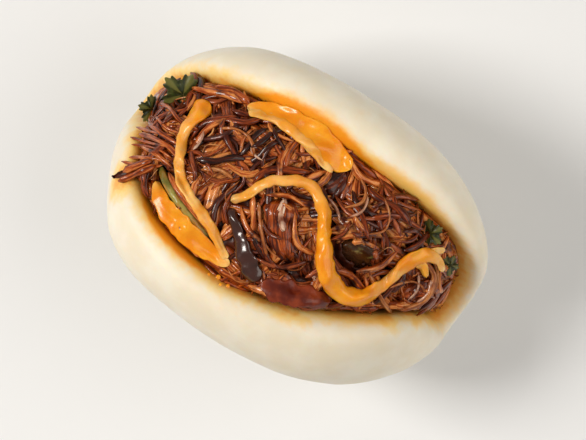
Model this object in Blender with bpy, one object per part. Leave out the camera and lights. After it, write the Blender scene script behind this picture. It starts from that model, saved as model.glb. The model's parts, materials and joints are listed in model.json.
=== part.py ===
"""Brisket gua bao: a steamed bun folded like a purse, standing on its fold with the mouth up.

Between the two lobes sits a heap of pulled brisket with a thick drizzle of chilli mayonnaise on it,
slices of cucumber and a few coriander leaves. Each of them is one object.
Metres, +Z up. X runs along the fold, the lobe at +Y is the back one and the lobe at -Y the front one.
The origin is the middle of the flat underside that the bun stands on.
"""

import math
import random
from collections import namedtuple

import bmesh
import bpy
import numpy as np
from mathutils import Matrix, Vector, noise
from mathutils.bvhtree import BVHTree

MM = 0.001

# ---------------------------------------------------------------- the bun
BUN_LENGTH = 104 * MM  # along the fold
LOBE_DEPTH = 65 * MM  # along the dough, from the inside of the fold to the rim
FOLD_WALL = 12.5 * MM  # dough thickness under the fold
FOOT_FLAT = 3 * MM  # how far the soft fold has settled flat under the bun's weight
END_RISE = 12 * MM  # how far the ends of the fold lift off the table
END_POWER = 3.5
FIT_GAP = 0.8 * MM  # clear gap between the dough and the core of the heap
PIECE_GAP = 0.3 * MM  # clear gap between the heap's pieces and whatever isn't part of it

# How the dough turns up from the fold: the angle of its cross-section.
FOLD_TURN = math.radians(54)
FOLD_ARC = 5 * MM
RIM_TURN = math.radians(98)

# The dough's outline before it is folded, and the round edge all along it.
EDGE_START = 0.78  # share of the way out at which the edge starts to round off
EDGE_MIDDLE = 0.42  # height of the very edge in the thickness of the dough

# The two lobes differ: the dough's thickness where the lobe is fattest, and how far the lobe leans out and
# slides along the fold for each unit of its depth. Seen from above, the lobe's outside is one lens, and the
# mouth inside it another, which isn't the same to the left as to the right. Each lens is given by where it
# would close, in half lengths of the bun, and by how blunt it is.
Lobe = namedtuple("Lobe", "wall lean slide outside left right")
FRONT = Lobe(15.6 * MM, lean=1.24, slide=-0.09, outside=(1.15, 2.0), left=(0.8, 1.93), right=(0.8, 1.33))
BACK = Lobe(16.5 * MM, lean=1.03, slide=0.02, outside=(1.04, 2.2), left=(1.1, 1.75), right=(1.1, 3.9))
OUTLINE = 2.5  # how blunt the dough's outline is before it is folded
SLIT = 0.5 * MM  # what stays open between the lobes where the mouth has closed

# The slow unevenness of a hand-rolled bun: what it adds, and its waves for each metre of x and of depth.
THINNER_ENDS = 0.12
UNEVEN_HEIGHT = 1.3 * MM
UNEVEN_WAVES = (32, 26)
DOUGH_GRID = (36, 20)

# ---------------------------------------------------------------- what the bun holds
HEAP_DEPTH = 62 * MM
HEAP_HALF_LENGTH = 47.3 * MM
HEAP_MIDDLE = -2.2 * MM  # x of the heap's middle: it reaches the bun's outline on the left alone
HEAP_DOME = 5.5 * MM
HEAP_LUMP = 3 * MM
LUMP_SPACING = 13 * MM
HEAP_GRID = (24, 15)

SHRED_COUNT = 52
SHRED_LENGTH = (11 * MM, 24 * MM)
SHRED_RADIUS = (0.8 * MM, 1.5 * MM)
SHRED_BOW = 0.3
SHRED_POINTS = 6
SEED = 12

# Lumps of meat that aren't pulled apart: x, y, length and width in millimetres, heading in degrees from +X.
CHUNK_GRID = (10, 6)
CHUNKS = (
    (-0.6, -5, 20, 12, -50), (-6, -15, 19, 5, -30), (10, -16, 14, 10, 15),
    (-15.5, 10, 17, 10, 8), (19, 14, 20, 11, -5), (37, 5, 14, 10, 65),
    (-24.5, -2, 15, 11, 60), (14, 6, 12, 8, 40), (-39, -1, 11, 7, -20),
)

# Strands that hang over a rim or stand out of the heap: x and y of the points they pass, and their radius.
STRANDS = (
    ((-36, -9), (-38.5, -12), (-41, -16), (-43.5, -20), 1.6),
    ((-28, 16), (-33, 15), (-38, 12.5), (-42, 11), 0.9),
    ((24, -1), (28, -3), (31.5, -5), (34.5, -8), 0.8),
    ((35, 10), (39, 8), (40.5, 2), (37, -4), 1.1),
    ((-31, -6), (-37, -5), (-42, -5.5), (-46, -7), 1.2),
    ((-34, 3), (-39, 2), (-44, 3.5), (-46.5, 2.5), 1.0),
)

KEPT_FACES = 0.62  # share of the fused heap's triangles that are kept

PLATE_GRID = 8
SLICE_THICK = 2.4 * MM
LEAF_THICK = 0.6 * MM
LEAF_WAVE = 0.5 * MM
LEAF_NOTCH = 0.35  # how far the gaps between a leaf's lobes cut in

# The slice that leans on the front lobe: depth along the dough and x of its middle, radius, and how far it
# is held off the dough.
FRONT_SLICE = (-51 * MM, -17.5 * MM, 15 * MM, 3.4 * MM)

# Pieces that lie in the meat: x, y and radius in millimetres, heading and lean in degrees, depth sunk in.
LAID_PIECES = {
    "cucumber_piece_middle": (18.5, 0.5, 6, -60, 50, 2.0),
    "coriander_leaf_left": (-42.5, 8, 5.5, 100, -35, -1.5),
    "coriander_leaf_end": (-47.5, 0.5, 3.4, 200, -20, -2.6),
    "coriander_leaf_back": (31, 17, 3.6, 60, -30, -1.2),
    "coriander_leaf_right": (40.5, 13, 2.8, 20, 25, -1.2),
}

# Sauce lines on the meat: x, y and half the width of the line, in millimetres.
FIRST_DRIZZLE = (
    (-36, 10, 2.3), (-36.6, 6, 1.9), (-36.6, 1.5, 1.5), (-34.5, -4, 1.4), (-31, -9, 1.4),
    (-26, -12, 1.4), (-20, -14, 1.4), (-13.5, -17, 1.3), (-8, -20, 1.1),
)
SECOND_DRIZZLE = (
    (-16, -7, 1.1), (-13.5, -3, 1.3), (-11.5, 2, 1.4), (-8, 5.5, 1.5), (-3.5, 8, 1.6), (1.5, 7.5, 1.7),
    (6, 4, 1.9), (9.5, -1, 2.1), (13.5, -6, 2.4), (19.5, -9.6, 2.7), (25.5, -8, 2.4), (28.5, -3, 1.8),
    (30, 3, 1.6), (31, 8.5, 1.7), (34, 12.5, 1.5), (38, 13.5, 1.1),
)

DOUGH_COLOUR = (0.86, 0.79, 0.64)
MEAT_COLOUR = (0.13, 0.035, 0.016)
CUCUMBER_COLOUR = (0.30, 0.36, 0.10)
LEAF_COLOUR = (0.05, 0.12, 0.02)


# ---------------------------------------------------------------- small helpers
def material(name, colour, roughness):
    made = bpy.data.materials.new(name)
    made.use_nodes = True
    shader = made.node_tree.nodes["Principled BSDF"]
    shader.inputs["Base Color"].default_value = (*colour, 1)
    shader.inputs["Roughness"].default_value = roughness
    shader.inputs["Metallic"].default_value = 0
    made.diffuse_color = (*colour, 1)
    return made


def add_object(name, mesh, collection, finish=None):
    made = bpy.data.objects.new(name, mesh)
    collection.objects.link(made)
    if finish:
        mesh.materials.append(finish)
        mesh.shade_smooth()
    return made


def mesh_from(bm, name):
    """A mesh of triangles, all of them facing out."""
    bmesh.ops.triangulate(bm, faces=bm.faces)
    bmesh.ops.recalc_face_normals(bm, faces=bm.faces)
    mesh = bpy.data.meshes.new(name)
    bm.to_mesh(mesh)
    bm.free()
    return mesh


def evaluated_mesh(obj):
    """The object's mesh with its modifiers applied."""
    graph = bpy.context.evaluated_depsgraph_get()
    return bpy.data.meshes.new_from_object(obj.evaluated_get(graph))


def surface_tree(obj):
    mesh = obj.data
    points = [obj.matrix_world @ vert.co for vert in mesh.vertices]
    return BVHTree.FromPolygons(points, [tuple(face.vertices) for face in mesh.polygons])


def smooth_step(value):
    value = min(max(value, 0.0), 1.0)
    return value * value * (3 - 2 * value)


def to_disc(u, v):
    """A point of the square from -1 to 1, carried into the round disc of radius 1."""
    return Vector((u * math.sqrt(1 - v * v / 2), v * math.sqrt(1 - u * u / 2)))


# ---------------------------------------------------------------- the folded dough
def fold_curve():
    """The inside of a lobe's cross-section: distance along it, y, z and turn, from the fold to the rim."""
    step = 0.25 * MM
    count = int(LOBE_DEPTH * 1.2 / step)
    along = np.arange(count) * step
    turn = FOLD_TURN * (1 - np.exp(-along / FOLD_ARC)) + (RIM_TURN - FOLD_TURN) * along / LOBE_DEPTH
    across = np.concatenate([[0], np.cumsum(np.cos(turn[:-1]) * step)])
    up = np.concatenate([[0], np.cumsum(np.sin(turn[:-1]) * step)])
    return along, across, up, turn


CURVE = fold_curve()
FLOOR = -FOLD_WALL + FOOT_FLAT


def lens(x, reach, power):
    """Height at x of a round outline, 1 high in the middle, that closes at this reach in half lengths."""
    share = min(abs(x) / (BUN_LENGTH / 2 * reach), 1)
    return (1 - share**power) ** (1 / power)


def mouth(x, lobe, outside):
    """Share of its full opening that the mouth has at x, on the dough's inside (0) or its outside (1)."""
    inner = lens(x, *(lobe.right if x > 0 else lobe.left))
    outer = lens(x, *lobe.outside)
    return inner + (outer - inner) * outside


def bend(depth, x, outwards):
    """Carries a point of the flat dough into the folded bun.

    depth is the distance from the fold, above 0 on the back lobe. outwards is the height off the inside.
    """
    along, across, up, turn = CURVE
    reach = abs(depth)
    lobe = BACK if depth >= 0 else FRONT
    angle = np.interp(reach, along, turn)
    width = np.interp(reach, along, across) * lobe.lean
    open_width = width * mouth(x, lobe, min(max(outwards / lobe.wall, 0), 1))
    y = math.hypot(open_width, min(width, SLIT / 2)) + outwards * math.sin(angle)
    z = np.interp(reach, along, up) - outwards * math.cos(angle)
    slid = lobe.slide * reach * smooth_step(reach / LOBE_DEPTH)
    lifted = z + END_RISE * (abs(x) / (BUN_LENGTH / 2)) ** END_POWER
    return Vector((x + slid, y if lobe is BACK else -y, lifted - FLOOR))


def dough_wall(depth, x):
    """Thickness of the dough: fat lobes, a tighter fold, and the slow unevenness of a hand-rolled bun."""
    fattest = (BACK if depth >= 0 else FRONT).wall
    wall = FOLD_WALL + (fattest - FOLD_WALL) * smooth_step(abs(depth) / (0.5 * LOBE_DEPTH))
    wall *= 1 - THINNER_ENDS * (x / (BUN_LENGTH / 2)) ** 2
    uneven = noise.noise(Vector((x * UNEVEN_WAVES[0], depth * UNEVEN_WAVES[1], 3.7)))
    return wall + UNEVEN_HEIGHT * uneven * smooth_step(abs(depth) / (0.3 * LOBE_DEPTH))


def flat_point(u, v, half_depth, half_length):
    """Depth and x of a square-grid point in the flat outline, and the share of the thickness left there."""
    way = to_disc(u, v)
    out = min(way.length, 1.0)
    if out < 1e-9:
        return 0.0, 0.0, 1.0
    way.normalize()
    if out <= EDGE_START:
        share, left = out, 1.0
    else:
        turn = (out - EDGE_START) / (1 - EDGE_START) * math.pi / 2
        share = EDGE_START + (1 - EDGE_START) * math.sin(turn)
        left = math.cos(turn)
    share /= (abs(way.x) ** OUTLINE + abs(way.y) ** OUTLINE) ** (1 / OUTLINE)
    return share * way.x * half_depth, share * way.y * half_length, left


def two_sheets(name, segments, sheets):
    """A closed pillow of two square grids, each carried to its place, that meet along their rims."""
    bm = bmesh.new()
    for place in sheets:
        grid = bmesh.ops.create_grid(bm, x_segments=segments[0], y_segments=segments[1], size=1)
        for vert in grid["verts"]:
            vert.co = place(vert.co.x, vert.co.y)
    bmesh.ops.remove_doubles(bm, verts=bm.verts, dist=0.01 * MM)
    return mesh_from(bm, name)


def rounded_off(depth, x):
    """How far the dough's inside face has turned away from the mouth here, at the round edge."""
    out = (abs(depth / LOBE_DEPTH) ** OUTLINE + abs(2 * x / BUN_LENGTH) ** OUTLINE) ** (1 / OUTLINE)
    turned = min(max(out - EDGE_START, 0) / (1 - EDGE_START), 1)
    return EDGE_MIDDLE * (1 - math.sqrt(1 - turned**2)) * dough_wall(depth, x)


def dough_face(u, v, outer, gap=0.0):
    """A point of the dough's outside or inside face, or of a dough that is larger by a gap all round."""
    depth, x, left = flat_point(u, v, LOBE_DEPTH + gap, BUN_LENGTH / 2 + gap)
    height = EDGE_MIDDLE + (1 - EDGE_MIDDLE) * left if outer else EDGE_MIDDLE * (1 - left)
    return bend(depth, x, dough_wall(depth, x) * height + (gap if outer else -gap) * left)


def build_dough(collection, cutters):
    """The folded dough, flat where it stands on the table, and the cutter that keeps the meat off it."""

    def outside(u, v):
        place = dough_face(u, v, True)
        place.z = max(place.z, 0)
        return place

    def larger(outer):
        return lambda u, v: dough_face(u, v, outer, PIECE_GAP)

    mesh = two_sheets("steamed_bun", DOUGH_GRID, (outside, lambda u, v: dough_face(u, v, False)))
    cutter = two_sheets("steamed_bun_cut", DOUGH_GRID, (larger(True), larger(False)))
    add_object("steamed_bun_cut", cutter, cutters)
    return add_object("steamed_bun", mesh, collection, material("steamed dough", DOUGH_COLOUR, 0.55))


# ---------------------------------------------------------------- the heap of brisket
def heap_limit(x):
    """How deep along the dough the heap reaches at x."""
    share = min(abs(x - HEAP_MIDDLE) / HEAP_HALF_LENGTH, 1)
    return HEAP_DEPTH * max(1 - share**OUTLINE, 1e-9) ** (1 / OUTLINE)


def on_dough(depth, x):
    """A place just off the dough's inside face, its round edge included."""
    return bend(depth, x, rounded_off(depth, x) - FIT_GAP)


def heap_underside(u, v):
    depth, x, _ = flat_point(u, v, HEAP_DEPTH, HEAP_HALF_LENGTH)
    return on_dough(depth, x + HEAP_MIDDLE)


def heap_top(u, v):
    """The lumpy top, spanned from lobe to lobe and domed."""
    depth, x, left = flat_point(u, v, HEAP_DEPTH, HEAP_HALF_LENGTH)
    x += HEAP_MIDDLE
    limit = heap_limit(x)
    front, back = on_dough(-limit, x), on_dough(limit, x)
    share = min(max(depth / limit, -1), 1)
    place = front.lerp(back, (share + 1) / 2)
    inside = 1 - share * share
    lump = noise.noise(Vector((place.x, place.y, 0.02)) / LUMP_SPACING)
    place.z += (HEAP_DOME * inside + HEAP_LUMP * lump * min(3 * inside, 1)) * min(2 * left, 1)
    return place


class Laid:
    """Finds where small pieces lie on the heap, and keeps them clear of what isn't part of it."""

    def __init__(self, core, neighbours):
        self.core = surface_tree(core)
        self.neighbours = [surface_tree(obj) for obj in neighbours]

    def height(self, x, y, over_rim=False):
        """Height of the heap at x, y, or None beside it. What may go over the rim finds the dough too."""
        from_above = Vector((x, y, 1)), Vector((0, 0, -1))
        heap = self.core.ray_cast(*from_above)[0]
        beside = [tree.ray_cast(*from_above)[0] for tree in self.neighbours]
        highest = max([hit.z for hit in beside if hit], default=0)
        if over_rim:
            return max(highest, heap.z if heap else 0) or None
        return heap.z if heap and heap.z > highest else None

    def clear(self, point, room):
        """The point, moved so that a ball of this radius there touches no neighbour."""
        for _ in range(3):
            for tree in self.neighbours:
                nearest, normal, _, distance = tree.find_nearest(point)
                away = point - nearest
                signed = distance if away.dot(normal) >= 0 else -distance
                if signed < room:
                    push = away.normalized() if signed > 1e-6 else normal
                    point = nearest + push * (room + 0.05 * MM)
        return point


def tube(name, path, radii, collection, sides_over_four=1):
    """A closed tube along the path, its radius given at each point."""
    curve = bpy.data.curves.new(name, "CURVE")
    curve.dimensions = "3D"
    curve.bevel_depth = 1
    curve.bevel_resolution = sides_over_four
    curve.use_fill_caps = True
    spline = curve.splines.new("POLY")
    spline.points.add(len(path) - 1)
    for point, place, radius in zip(spline.points, path, radii):
        point.co = (*place, 1)
        point.radius = radius
    shaped = bpy.data.objects.new(name, curve)
    collection.objects.link(shaped)
    mesh = evaluated_mesh(shaped)
    bpy.data.objects.remove(shaped)
    bm = bmesh.new()
    bm.from_mesh(mesh)
    bmesh.ops.remove_doubles(bm, verts=bm.verts, dist=0.01 * MM)
    return add_object(name, mesh_from(bm, name), collection)


def shred(number, laid, draw, collection):
    """One strand of pulled meat, bowed, tapered and half sunk in the heap."""
    spread_x = (0.5 + number * 0.754878) % 1 * 2 - 1
    spread_y = (0.5 + number * 0.569840) % 1 * 2 - 1
    middle = Vector((HEAP_MIDDLE + spread_x * HEAP_HALF_LENGTH * 0.93, 0))
    half_width = bend(heap_limit(middle.x), middle.x, 0).y - 2 * MM
    middle.y = spread_y * max(half_width, 2 * MM)
    heading = draw.uniform(0, math.pi)
    length = draw.uniform(*SHRED_LENGTH)
    radius = draw.uniform(*SHRED_RADIUS)
    bow = draw.uniform(-SHRED_BOW, SHRED_BOW)
    path, radii = [], []
    for step in range(SHRED_POINTS):
        share = step / (SHRED_POINTS - 1) * 2 - 1
        turn = heading + bow * share
        flat = middle + Vector((math.cos(turn), math.sin(turn))) * length / 2 * share
        height = laid.height(*flat)
        if height is None:
            continue
        lift = draw.uniform(-0.2, 0.5) * radius
        point = laid.clear(Vector((*flat, height + lift)), radius + PIECE_GAP)
        if path and (point - path[-1]).length > length * 0.5:
            break
        path.append(point)
        radii.append(radius * (1 - 0.45 * share * share))
    if len(path) < 3:
        return
    tube(f"shred_{number}", path, radii, collection)


def strand(number, laid, collection):
    """A strand that goes where it is told, over the dough's rim too."""
    *points, radius = STRANDS[number]
    path, radii = [], []
    for x, y, _ in smooth_route([(x, y, 0) for x, y in points], 2.5):
        height = laid.height(x * MM, y * MM, over_rim=True)
        if height is not None:
            lift = Vector((x * MM, y * MM, height + 0.5 * radius * MM))
            path.append(laid.clear(lift, radius * MM + PIECE_GAP))
            radii.append(radius * MM)
    tube(f"strand_{number}", path, radii, collection)


def chunk(number, laid, collection):
    """One lump of meat, longer than it is wide, sunk in the heap by a third."""
    x, y, length, width, heading = CHUNKS[number]
    radius = width / 2 * MM
    height = laid.height(x * MM, y * MM)
    place = laid.clear(Vector((x * MM, y * MM, height - 0.35 * radius)), radius)
    bm = bmesh.new()
    bmesh.ops.create_uvsphere(bm, u_segments=CHUNK_GRID[0], v_segments=CHUNK_GRID[1], radius=radius)
    stretch = Matrix.Diagonal((length / width, 1, 0.8)).to_4x4()
    turned = Matrix.Rotation(math.radians(heading), 4, "Z")
    bm.transform(Matrix.Translation(place) @ turned @ stretch)
    add_object(f"chunk_{number}", mesh_from(bm, "chunk"), collection)


def smooth_route(points, spacing):
    """Points about this far apart on a smooth curve through the route's own points, widths included."""
    points = [Vector(point) for point in points]
    ends = [2 * points[0] - points[1], *points, 2 * points[-1] - points[-2]]
    route = []
    for before, start, end, after in zip(ends, ends[1:], ends[2:], ends[3:]):
        steps = max(1, round((end - start).xy.length / spacing))
        for step in range(steps):
            t = step / steps
            route.append(
                0.5 * (2 * start + (end - before) * t + (2 * before - 5 * start + 4 * end - after) * t * t
                       + (3 * start - before - 3 * end + after) * t * t * t)
            )
    return [*route, points[-1]]


def drizzle(name, line, laid, collection):
    """A thick line of sauce that lies on the meat."""
    route = smooth_route(line, 3)
    radii = [width * MM for _, _, width in route]
    heights = [laid.height(x * MM, y * MM, over_rim=True) for x, y, _ in route]
    path = []
    for index, (x, y, _) in enumerate(route):
        near = [height for height in heights[max(index - 2, 0) : index + 3] if height is not None]
        lift = sum(near) / len(near) + 0.9 * MM + 0.25 * radii[index]
        path.append(laid.clear(Vector((x * MM, y * MM, lift)), radii[index] + PIECE_GAP))
    ends = [0.6, *([1] * (len(radii) - 2)), 0.5]
    tube(name, path, [radius * end for radius, end in zip(radii, ends)], collection, 2)


def largest_body(mesh):
    """Keeps the biggest shell of the mesh: no scrap is left by a cut, and no sealed hollow by a join."""
    bm = bmesh.new()
    bm.from_mesh(mesh)
    bmesh.ops.triangulate(bm, faces=bm.faces, quad_method="BEAUTY", ngon_method="BEAUTY")
    left, shells = set(bm.faces), []
    while left:
        edge = [left.pop()]
        shell = set(edge)
        while edge:
            near = {face for side in edge.pop().edges for face in side.link_faces} & left
            left -= near
            shell |= near
            edge.extend(near)
        shells.append(shell)
    keep = max(shells, key=len)
    bmesh.ops.delete(bm, geom=[face for face in bm.faces if face not in keep], context="FACES")
    return mesh_from(bm, mesh.name)


def with_modifier(obj, kind, **settings):
    """The object with one modifier applied to its mesh."""
    modifier = obj.modifiers.new(kind.lower(), kind)
    for name, value in settings.items():
        setattr(modifier, name, value)
    mesh = evaluated_mesh(obj)
    obj.modifiers.clear()
    obj.data = largest_body(mesh)


def joined(obj, pieces, cutters):
    """Fuses one collection of pieces onto the object, cuts another out of it and thins its triangles."""
    for operation, collection in (("UNION", pieces), ("DIFFERENCE", cutters)):
        together = {"operand_type": "COLLECTION", "collection": collection, "operation": operation}
        with_modifier(obj, "BOOLEAN", solver="MANIFOLD", **together)
        for used in list(collection.objects):
            bpy.data.objects.remove(used)
        bpy.data.collections.remove(collection)
    with_modifier(obj, "DECIMATE", ratio=KEPT_FACES)


def build_heap(collection, neighbours, cutters):
    heap = add_object("brisket_heap", two_sheets("heap", HEAP_GRID, (heap_underside, heap_top)), collection)
    laid = Laid(heap, neighbours)
    build_laid_pieces(laid, collection, cutters)
    pieces = bpy.data.collections.new("heap_pieces")
    bpy.context.scene.collection.children.link(pieces)
    draw = random.Random(SEED)
    for number in range(SHRED_COUNT):
        shred(number, laid, draw, pieces)
    for number in range(len(CHUNKS)):
        chunk(number, laid, pieces)
    for number in range(len(STRANDS)):
        strand(number, laid, pieces)
    drizzle("first_drizzle", FIRST_DRIZZLE, laid, pieces)
    drizzle("second_drizzle", SECOND_DRIZZLE, laid, pieces)
    joined(heap, pieces, cutters)
    heap.data.materials.append(material("brisket in gravy", MEAT_COLOUR, 0.35))


# ---------------------------------------------------------------- cucumber and leaves
def plate(name, place, near, far, collection, finish=None):
    """A thin closed piece between two heights over a curved sheet, both its faces split alike."""
    bm = bmesh.new()
    for height in (near, far):
        grid = bmesh.ops.create_grid(bm, x_segments=PLATE_GRID, y_segments=PLATE_GRID, size=1)
        for vert in grid["verts"]:
            vert.co = place(vert.co.x, vert.co.y, height)
    bmesh.ops.triangulate(bm, faces=bm.faces, quad_method="FIXED")
    bmesh.ops.bridge_loops(bm, edges=[edge for edge in bm.edges if edge.is_boundary])
    return add_object(name, mesh_from(bm, name), collection, finish)


def with_cutter(name, placed, near, far, collection, cutters, finish):
    """The piece itself, and a slightly larger one that makes room for it in the heap."""
    plate(name + "_cut", placed(PIECE_GAP), near - PIECE_GAP, far + PIECE_GAP, cutters)
    return plate(name, placed(0), near, far, collection, finish)


def leaning_on_dough(depth, x, radius):
    """A round slice in the flat dough's own coordinates, so that it folds up with the lobe it leans on."""

    def place(u, v, height):
        way = to_disc(u, v) * radius
        return bend(depth + way.x, x + way.y, -height)

    return place


def lying_on_heap(laid, middle, heading, lean, sink, outline):
    """A piece that lies on the heap, turned to a heading, leaning, and sunk in by some depth."""
    radius, notch, wave = outline
    turned = Matrix.Rotation(math.radians(heading), 4, "Z") @ Matrix.Rotation(math.radians(lean), 4, "Y")
    pose = Matrix.Translation((*middle, laid.height(*middle) - sink)) @ turned

    def place(u, v, height):
        way = to_disc(u, v)
        lobed = 1 - notch * (1 - abs(math.cos(2.5 * math.atan2(way.y, way.x))))
        flat = way * radius * lobed
        ripple = wave * math.sin(4 * way.x) * math.cos(3 * way.y)
        return pose @ Vector((*flat, ripple + height))

    return place


def build_front_slice(collection, cutters):
    """The round slice whose rim shows along the front lobe."""
    finish = material("cucumber slice", CUCUMBER_COLOUR, 0.35)
    depth, x, radius, off = FRONT_SLICE

    def placed(gap):
        return leaning_on_dough(depth, x, radius + gap)

    return with_cutter("cucumber_slice_front", placed, off, off + SLICE_THICK, collection, cutters, finish)


def build_laid_pieces(laid, collection, cutters):
    """The cucumber piece and the coriander leaves that lie in the meat."""
    finishes = {
        "cucumber": material("cucumber piece", CUCUMBER_COLOUR, 0.35),
        "coriander": material("coriander leaf", LEAF_COLOUR, 0.45),
    }
    for name, (x, y, radius, heading, lean, sink) in LAID_PIECES.items():
        kind = name.split("_")[0]
        leaf = kind == "coriander"
        thick = LEAF_THICK if leaf else SLICE_THICK
        notch, wave = (LEAF_NOTCH, LEAF_WAVE) if leaf else (0, 0)

        def placed(gap):
            outline = (radius * MM + gap, notch, wave)
            return lying_on_heap(laid, (x * MM, y * MM), heading, lean, sink * MM, outline)

        with_cutter(name, placed, -thick / 2, thick / 2, collection, cutters, finishes[kind])


# ---------------------------------------------------------------- the whole thing
def main():
    for old in list(bpy.data.objects):
        bpy.data.objects.remove(old)
    bao = bpy.data.collections.new("brisket_gua_bao")
    cutters = bpy.data.collections.new("cutters")
    for collection in (bao, cutters):
        bpy.context.scene.collection.children.link(collection)
    dough = build_dough(bao, cutters)
    front_slice = build_front_slice(bao, cutters)
    build_heap(bao, [dough, front_slice], cutters)


main()
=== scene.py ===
# %% [markdown]
# # A brisket gua bao
#
# A gua bao is a round of steamed wheat dough, folded over its filling like a purse. This one stands on its
# fold with the mouth up, and shows pulled brisket, chilli mayonnaise, cucumber and coriander. The plain
# solids are loaded first, as a fixed frame. Every later cell dresses one of them where it stands.

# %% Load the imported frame
import json
import math
import random

import bmesh
import bpy
import numpy as np
from mathutils import Matrix, Vector, noise
from mathutils.bvhtree import BVHTree

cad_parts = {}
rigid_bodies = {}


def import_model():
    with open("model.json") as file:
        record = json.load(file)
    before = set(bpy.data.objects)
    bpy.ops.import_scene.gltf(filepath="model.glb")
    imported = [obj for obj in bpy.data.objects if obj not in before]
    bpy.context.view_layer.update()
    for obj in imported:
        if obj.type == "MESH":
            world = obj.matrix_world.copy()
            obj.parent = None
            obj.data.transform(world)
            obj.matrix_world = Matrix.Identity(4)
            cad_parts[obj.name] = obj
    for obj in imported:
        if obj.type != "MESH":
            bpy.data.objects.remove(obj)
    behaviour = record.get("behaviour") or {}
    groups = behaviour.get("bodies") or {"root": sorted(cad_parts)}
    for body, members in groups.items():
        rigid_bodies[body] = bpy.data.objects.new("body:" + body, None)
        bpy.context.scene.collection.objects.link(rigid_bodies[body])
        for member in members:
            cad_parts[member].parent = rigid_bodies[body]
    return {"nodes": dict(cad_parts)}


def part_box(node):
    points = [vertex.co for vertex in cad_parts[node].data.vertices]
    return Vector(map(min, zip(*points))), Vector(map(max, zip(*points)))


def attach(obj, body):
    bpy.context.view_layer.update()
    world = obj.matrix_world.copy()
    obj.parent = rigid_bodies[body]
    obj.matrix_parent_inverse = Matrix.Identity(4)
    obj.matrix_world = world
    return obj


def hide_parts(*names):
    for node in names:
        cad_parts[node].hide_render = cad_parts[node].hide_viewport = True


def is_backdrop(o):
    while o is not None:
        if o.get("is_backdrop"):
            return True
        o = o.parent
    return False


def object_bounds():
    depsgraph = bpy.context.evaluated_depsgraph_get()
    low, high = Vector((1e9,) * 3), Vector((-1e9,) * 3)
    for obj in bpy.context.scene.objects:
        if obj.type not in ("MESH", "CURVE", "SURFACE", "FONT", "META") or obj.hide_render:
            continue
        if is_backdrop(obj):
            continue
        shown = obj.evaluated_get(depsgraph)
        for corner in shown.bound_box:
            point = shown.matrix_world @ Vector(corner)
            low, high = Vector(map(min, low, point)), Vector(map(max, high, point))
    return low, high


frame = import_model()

MM = 0.001
cad_box = [list(corner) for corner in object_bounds()]
print("solids:", sorted(frame["nodes"]))

# %% [markdown]
# ## Small helpers
#
# Blender's sockets want linear colour, while a picked colour is sRGB, so one function turns a hex code into
# what a socket takes. Another adds a node, sets it up and links it, for shaders and Geometry Nodes alike. It
# gives back an output, ready to be the next node's input.

# %% Colours and nodes
def colour(code):
    """An sRGB hex code as linear RGBA."""
    shares = [int(code[start : start + 2], 16) / 255 for start in (0, 2, 4)]
    return (*[share / 12.92 if share <= 0.04045 else ((share + 0.055) / 1.055) ** 2.4 for share in shares], 1)


def add_node(tree, kind, inputs=None, output=None, **settings):
    """Adds a node and gives one of its outputs: the named one, or else the first that is in use.

    Its inputs are given by name or number, each as a constant or as the socket to link from.
    """
    node = tree.nodes.new(kind)
    for setting, value in settings.items():
        setattr(node, setting, value)
    for key, value in (inputs or {}).items():
        if isinstance(key, str):
            socket = next(found for found in node.inputs if found.name == key and found.enabled)
        else:
            socket = node.inputs[key]
        if isinstance(value, bpy.types.NodeSocket):
            tree.links.new(value, socket)
        else:
            socket.default_value = value
    return node.outputs[output] if output else next((found for found in node.outputs if found.enabled), None)


# %% [markdown]
# Every piece ends the same way: smooth shading, one material and the body it rides on. Food has no joints,
# so the one body is called root.

# %% Pieces
def add_object(name, data):
    """A new object in the scene, at the origin."""
    made = bpy.data.objects.new(name, data)
    bpy.context.scene.collection.objects.link(made)
    return made


def mesh_from(bm, name):
    mesh = bpy.data.meshes.new(name)
    bm.to_mesh(mesh)
    bm.free()
    return mesh


def add_piece(name, form, finish, slot, *replaced):
    """Makes a finished mesh or bmesh a piece of the bao, standing for the named solids."""
    mesh = form if isinstance(form, bpy.types.Mesh) else mesh_from(form, name)
    piece = add_object(name, mesh)
    mesh.materials.clear()
    mesh.materials.append(finish)
    mesh.shade_smooth()
    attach(piece, "root")
    if replaced:
        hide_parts(*replaced)
    top = max(vert.co.z for vert in mesh.vertices) / MM
    print(name, len(mesh.polygons), "faces, top at", round(top, 1), "mm")
    return piece


def merged_copy(node):
    """A loose object with a copy of a solid's mesh, its doubled corners merged."""
    bm = bmesh.new()
    bm.from_mesh(frame["nodes"][node].data)
    bmesh.ops.remove_doubles(bm, verts=bm.verts, dist=0.005 * MM)
    return add_object(node + "_copy", mesh_from(bm, node))


def applied(obj):
    """The object's mesh with its modifiers applied. The object itself is removed."""
    graph = bpy.context.evaluated_depsgraph_get()
    mesh = bpy.data.meshes.new_from_object(obj.evaluated_get(graph))
    bpy.data.objects.remove(obj)
    return mesh


def add_modifier(obj, kind, **settings):
    modifier = obj.modifiers.new(kind.lower(), kind)
    for setting, value in settings.items():
        setattr(modifier, setting, value)
    return modifier


# %% [markdown]
# Geometry Nodes keep their sizes as named inputs. On the modifier an input is found by its socket's
# identifier, because two inputs may share a name, and it is set before the tree first runs.

# %% Geometry Nodes groups
def new_tree(name, **inputs):
    """A Geometry Nodes group with these inputs, each given as its socket type or as a default number."""
    tree = bpy.data.node_groups.new(name, "GeometryNodeTree")
    tree.interface.new_socket("Geometry", in_out="INPUT", socket_type="NodeSocketGeometry")
    tree.interface.new_socket("Geometry", in_out="OUTPUT", socket_type="NodeSocketGeometry")
    for label, kind in inputs.items():
        named = isinstance(kind, str)
        socket = tree.interface.new_socket(
            label, in_out="INPUT", socket_type="NodeSocket" + (kind if named else "Float")
        )
        if not named:
            socket.default_value = kind
    return tree, add_node(tree, "NodeGroupInput").node.outputs


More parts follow.
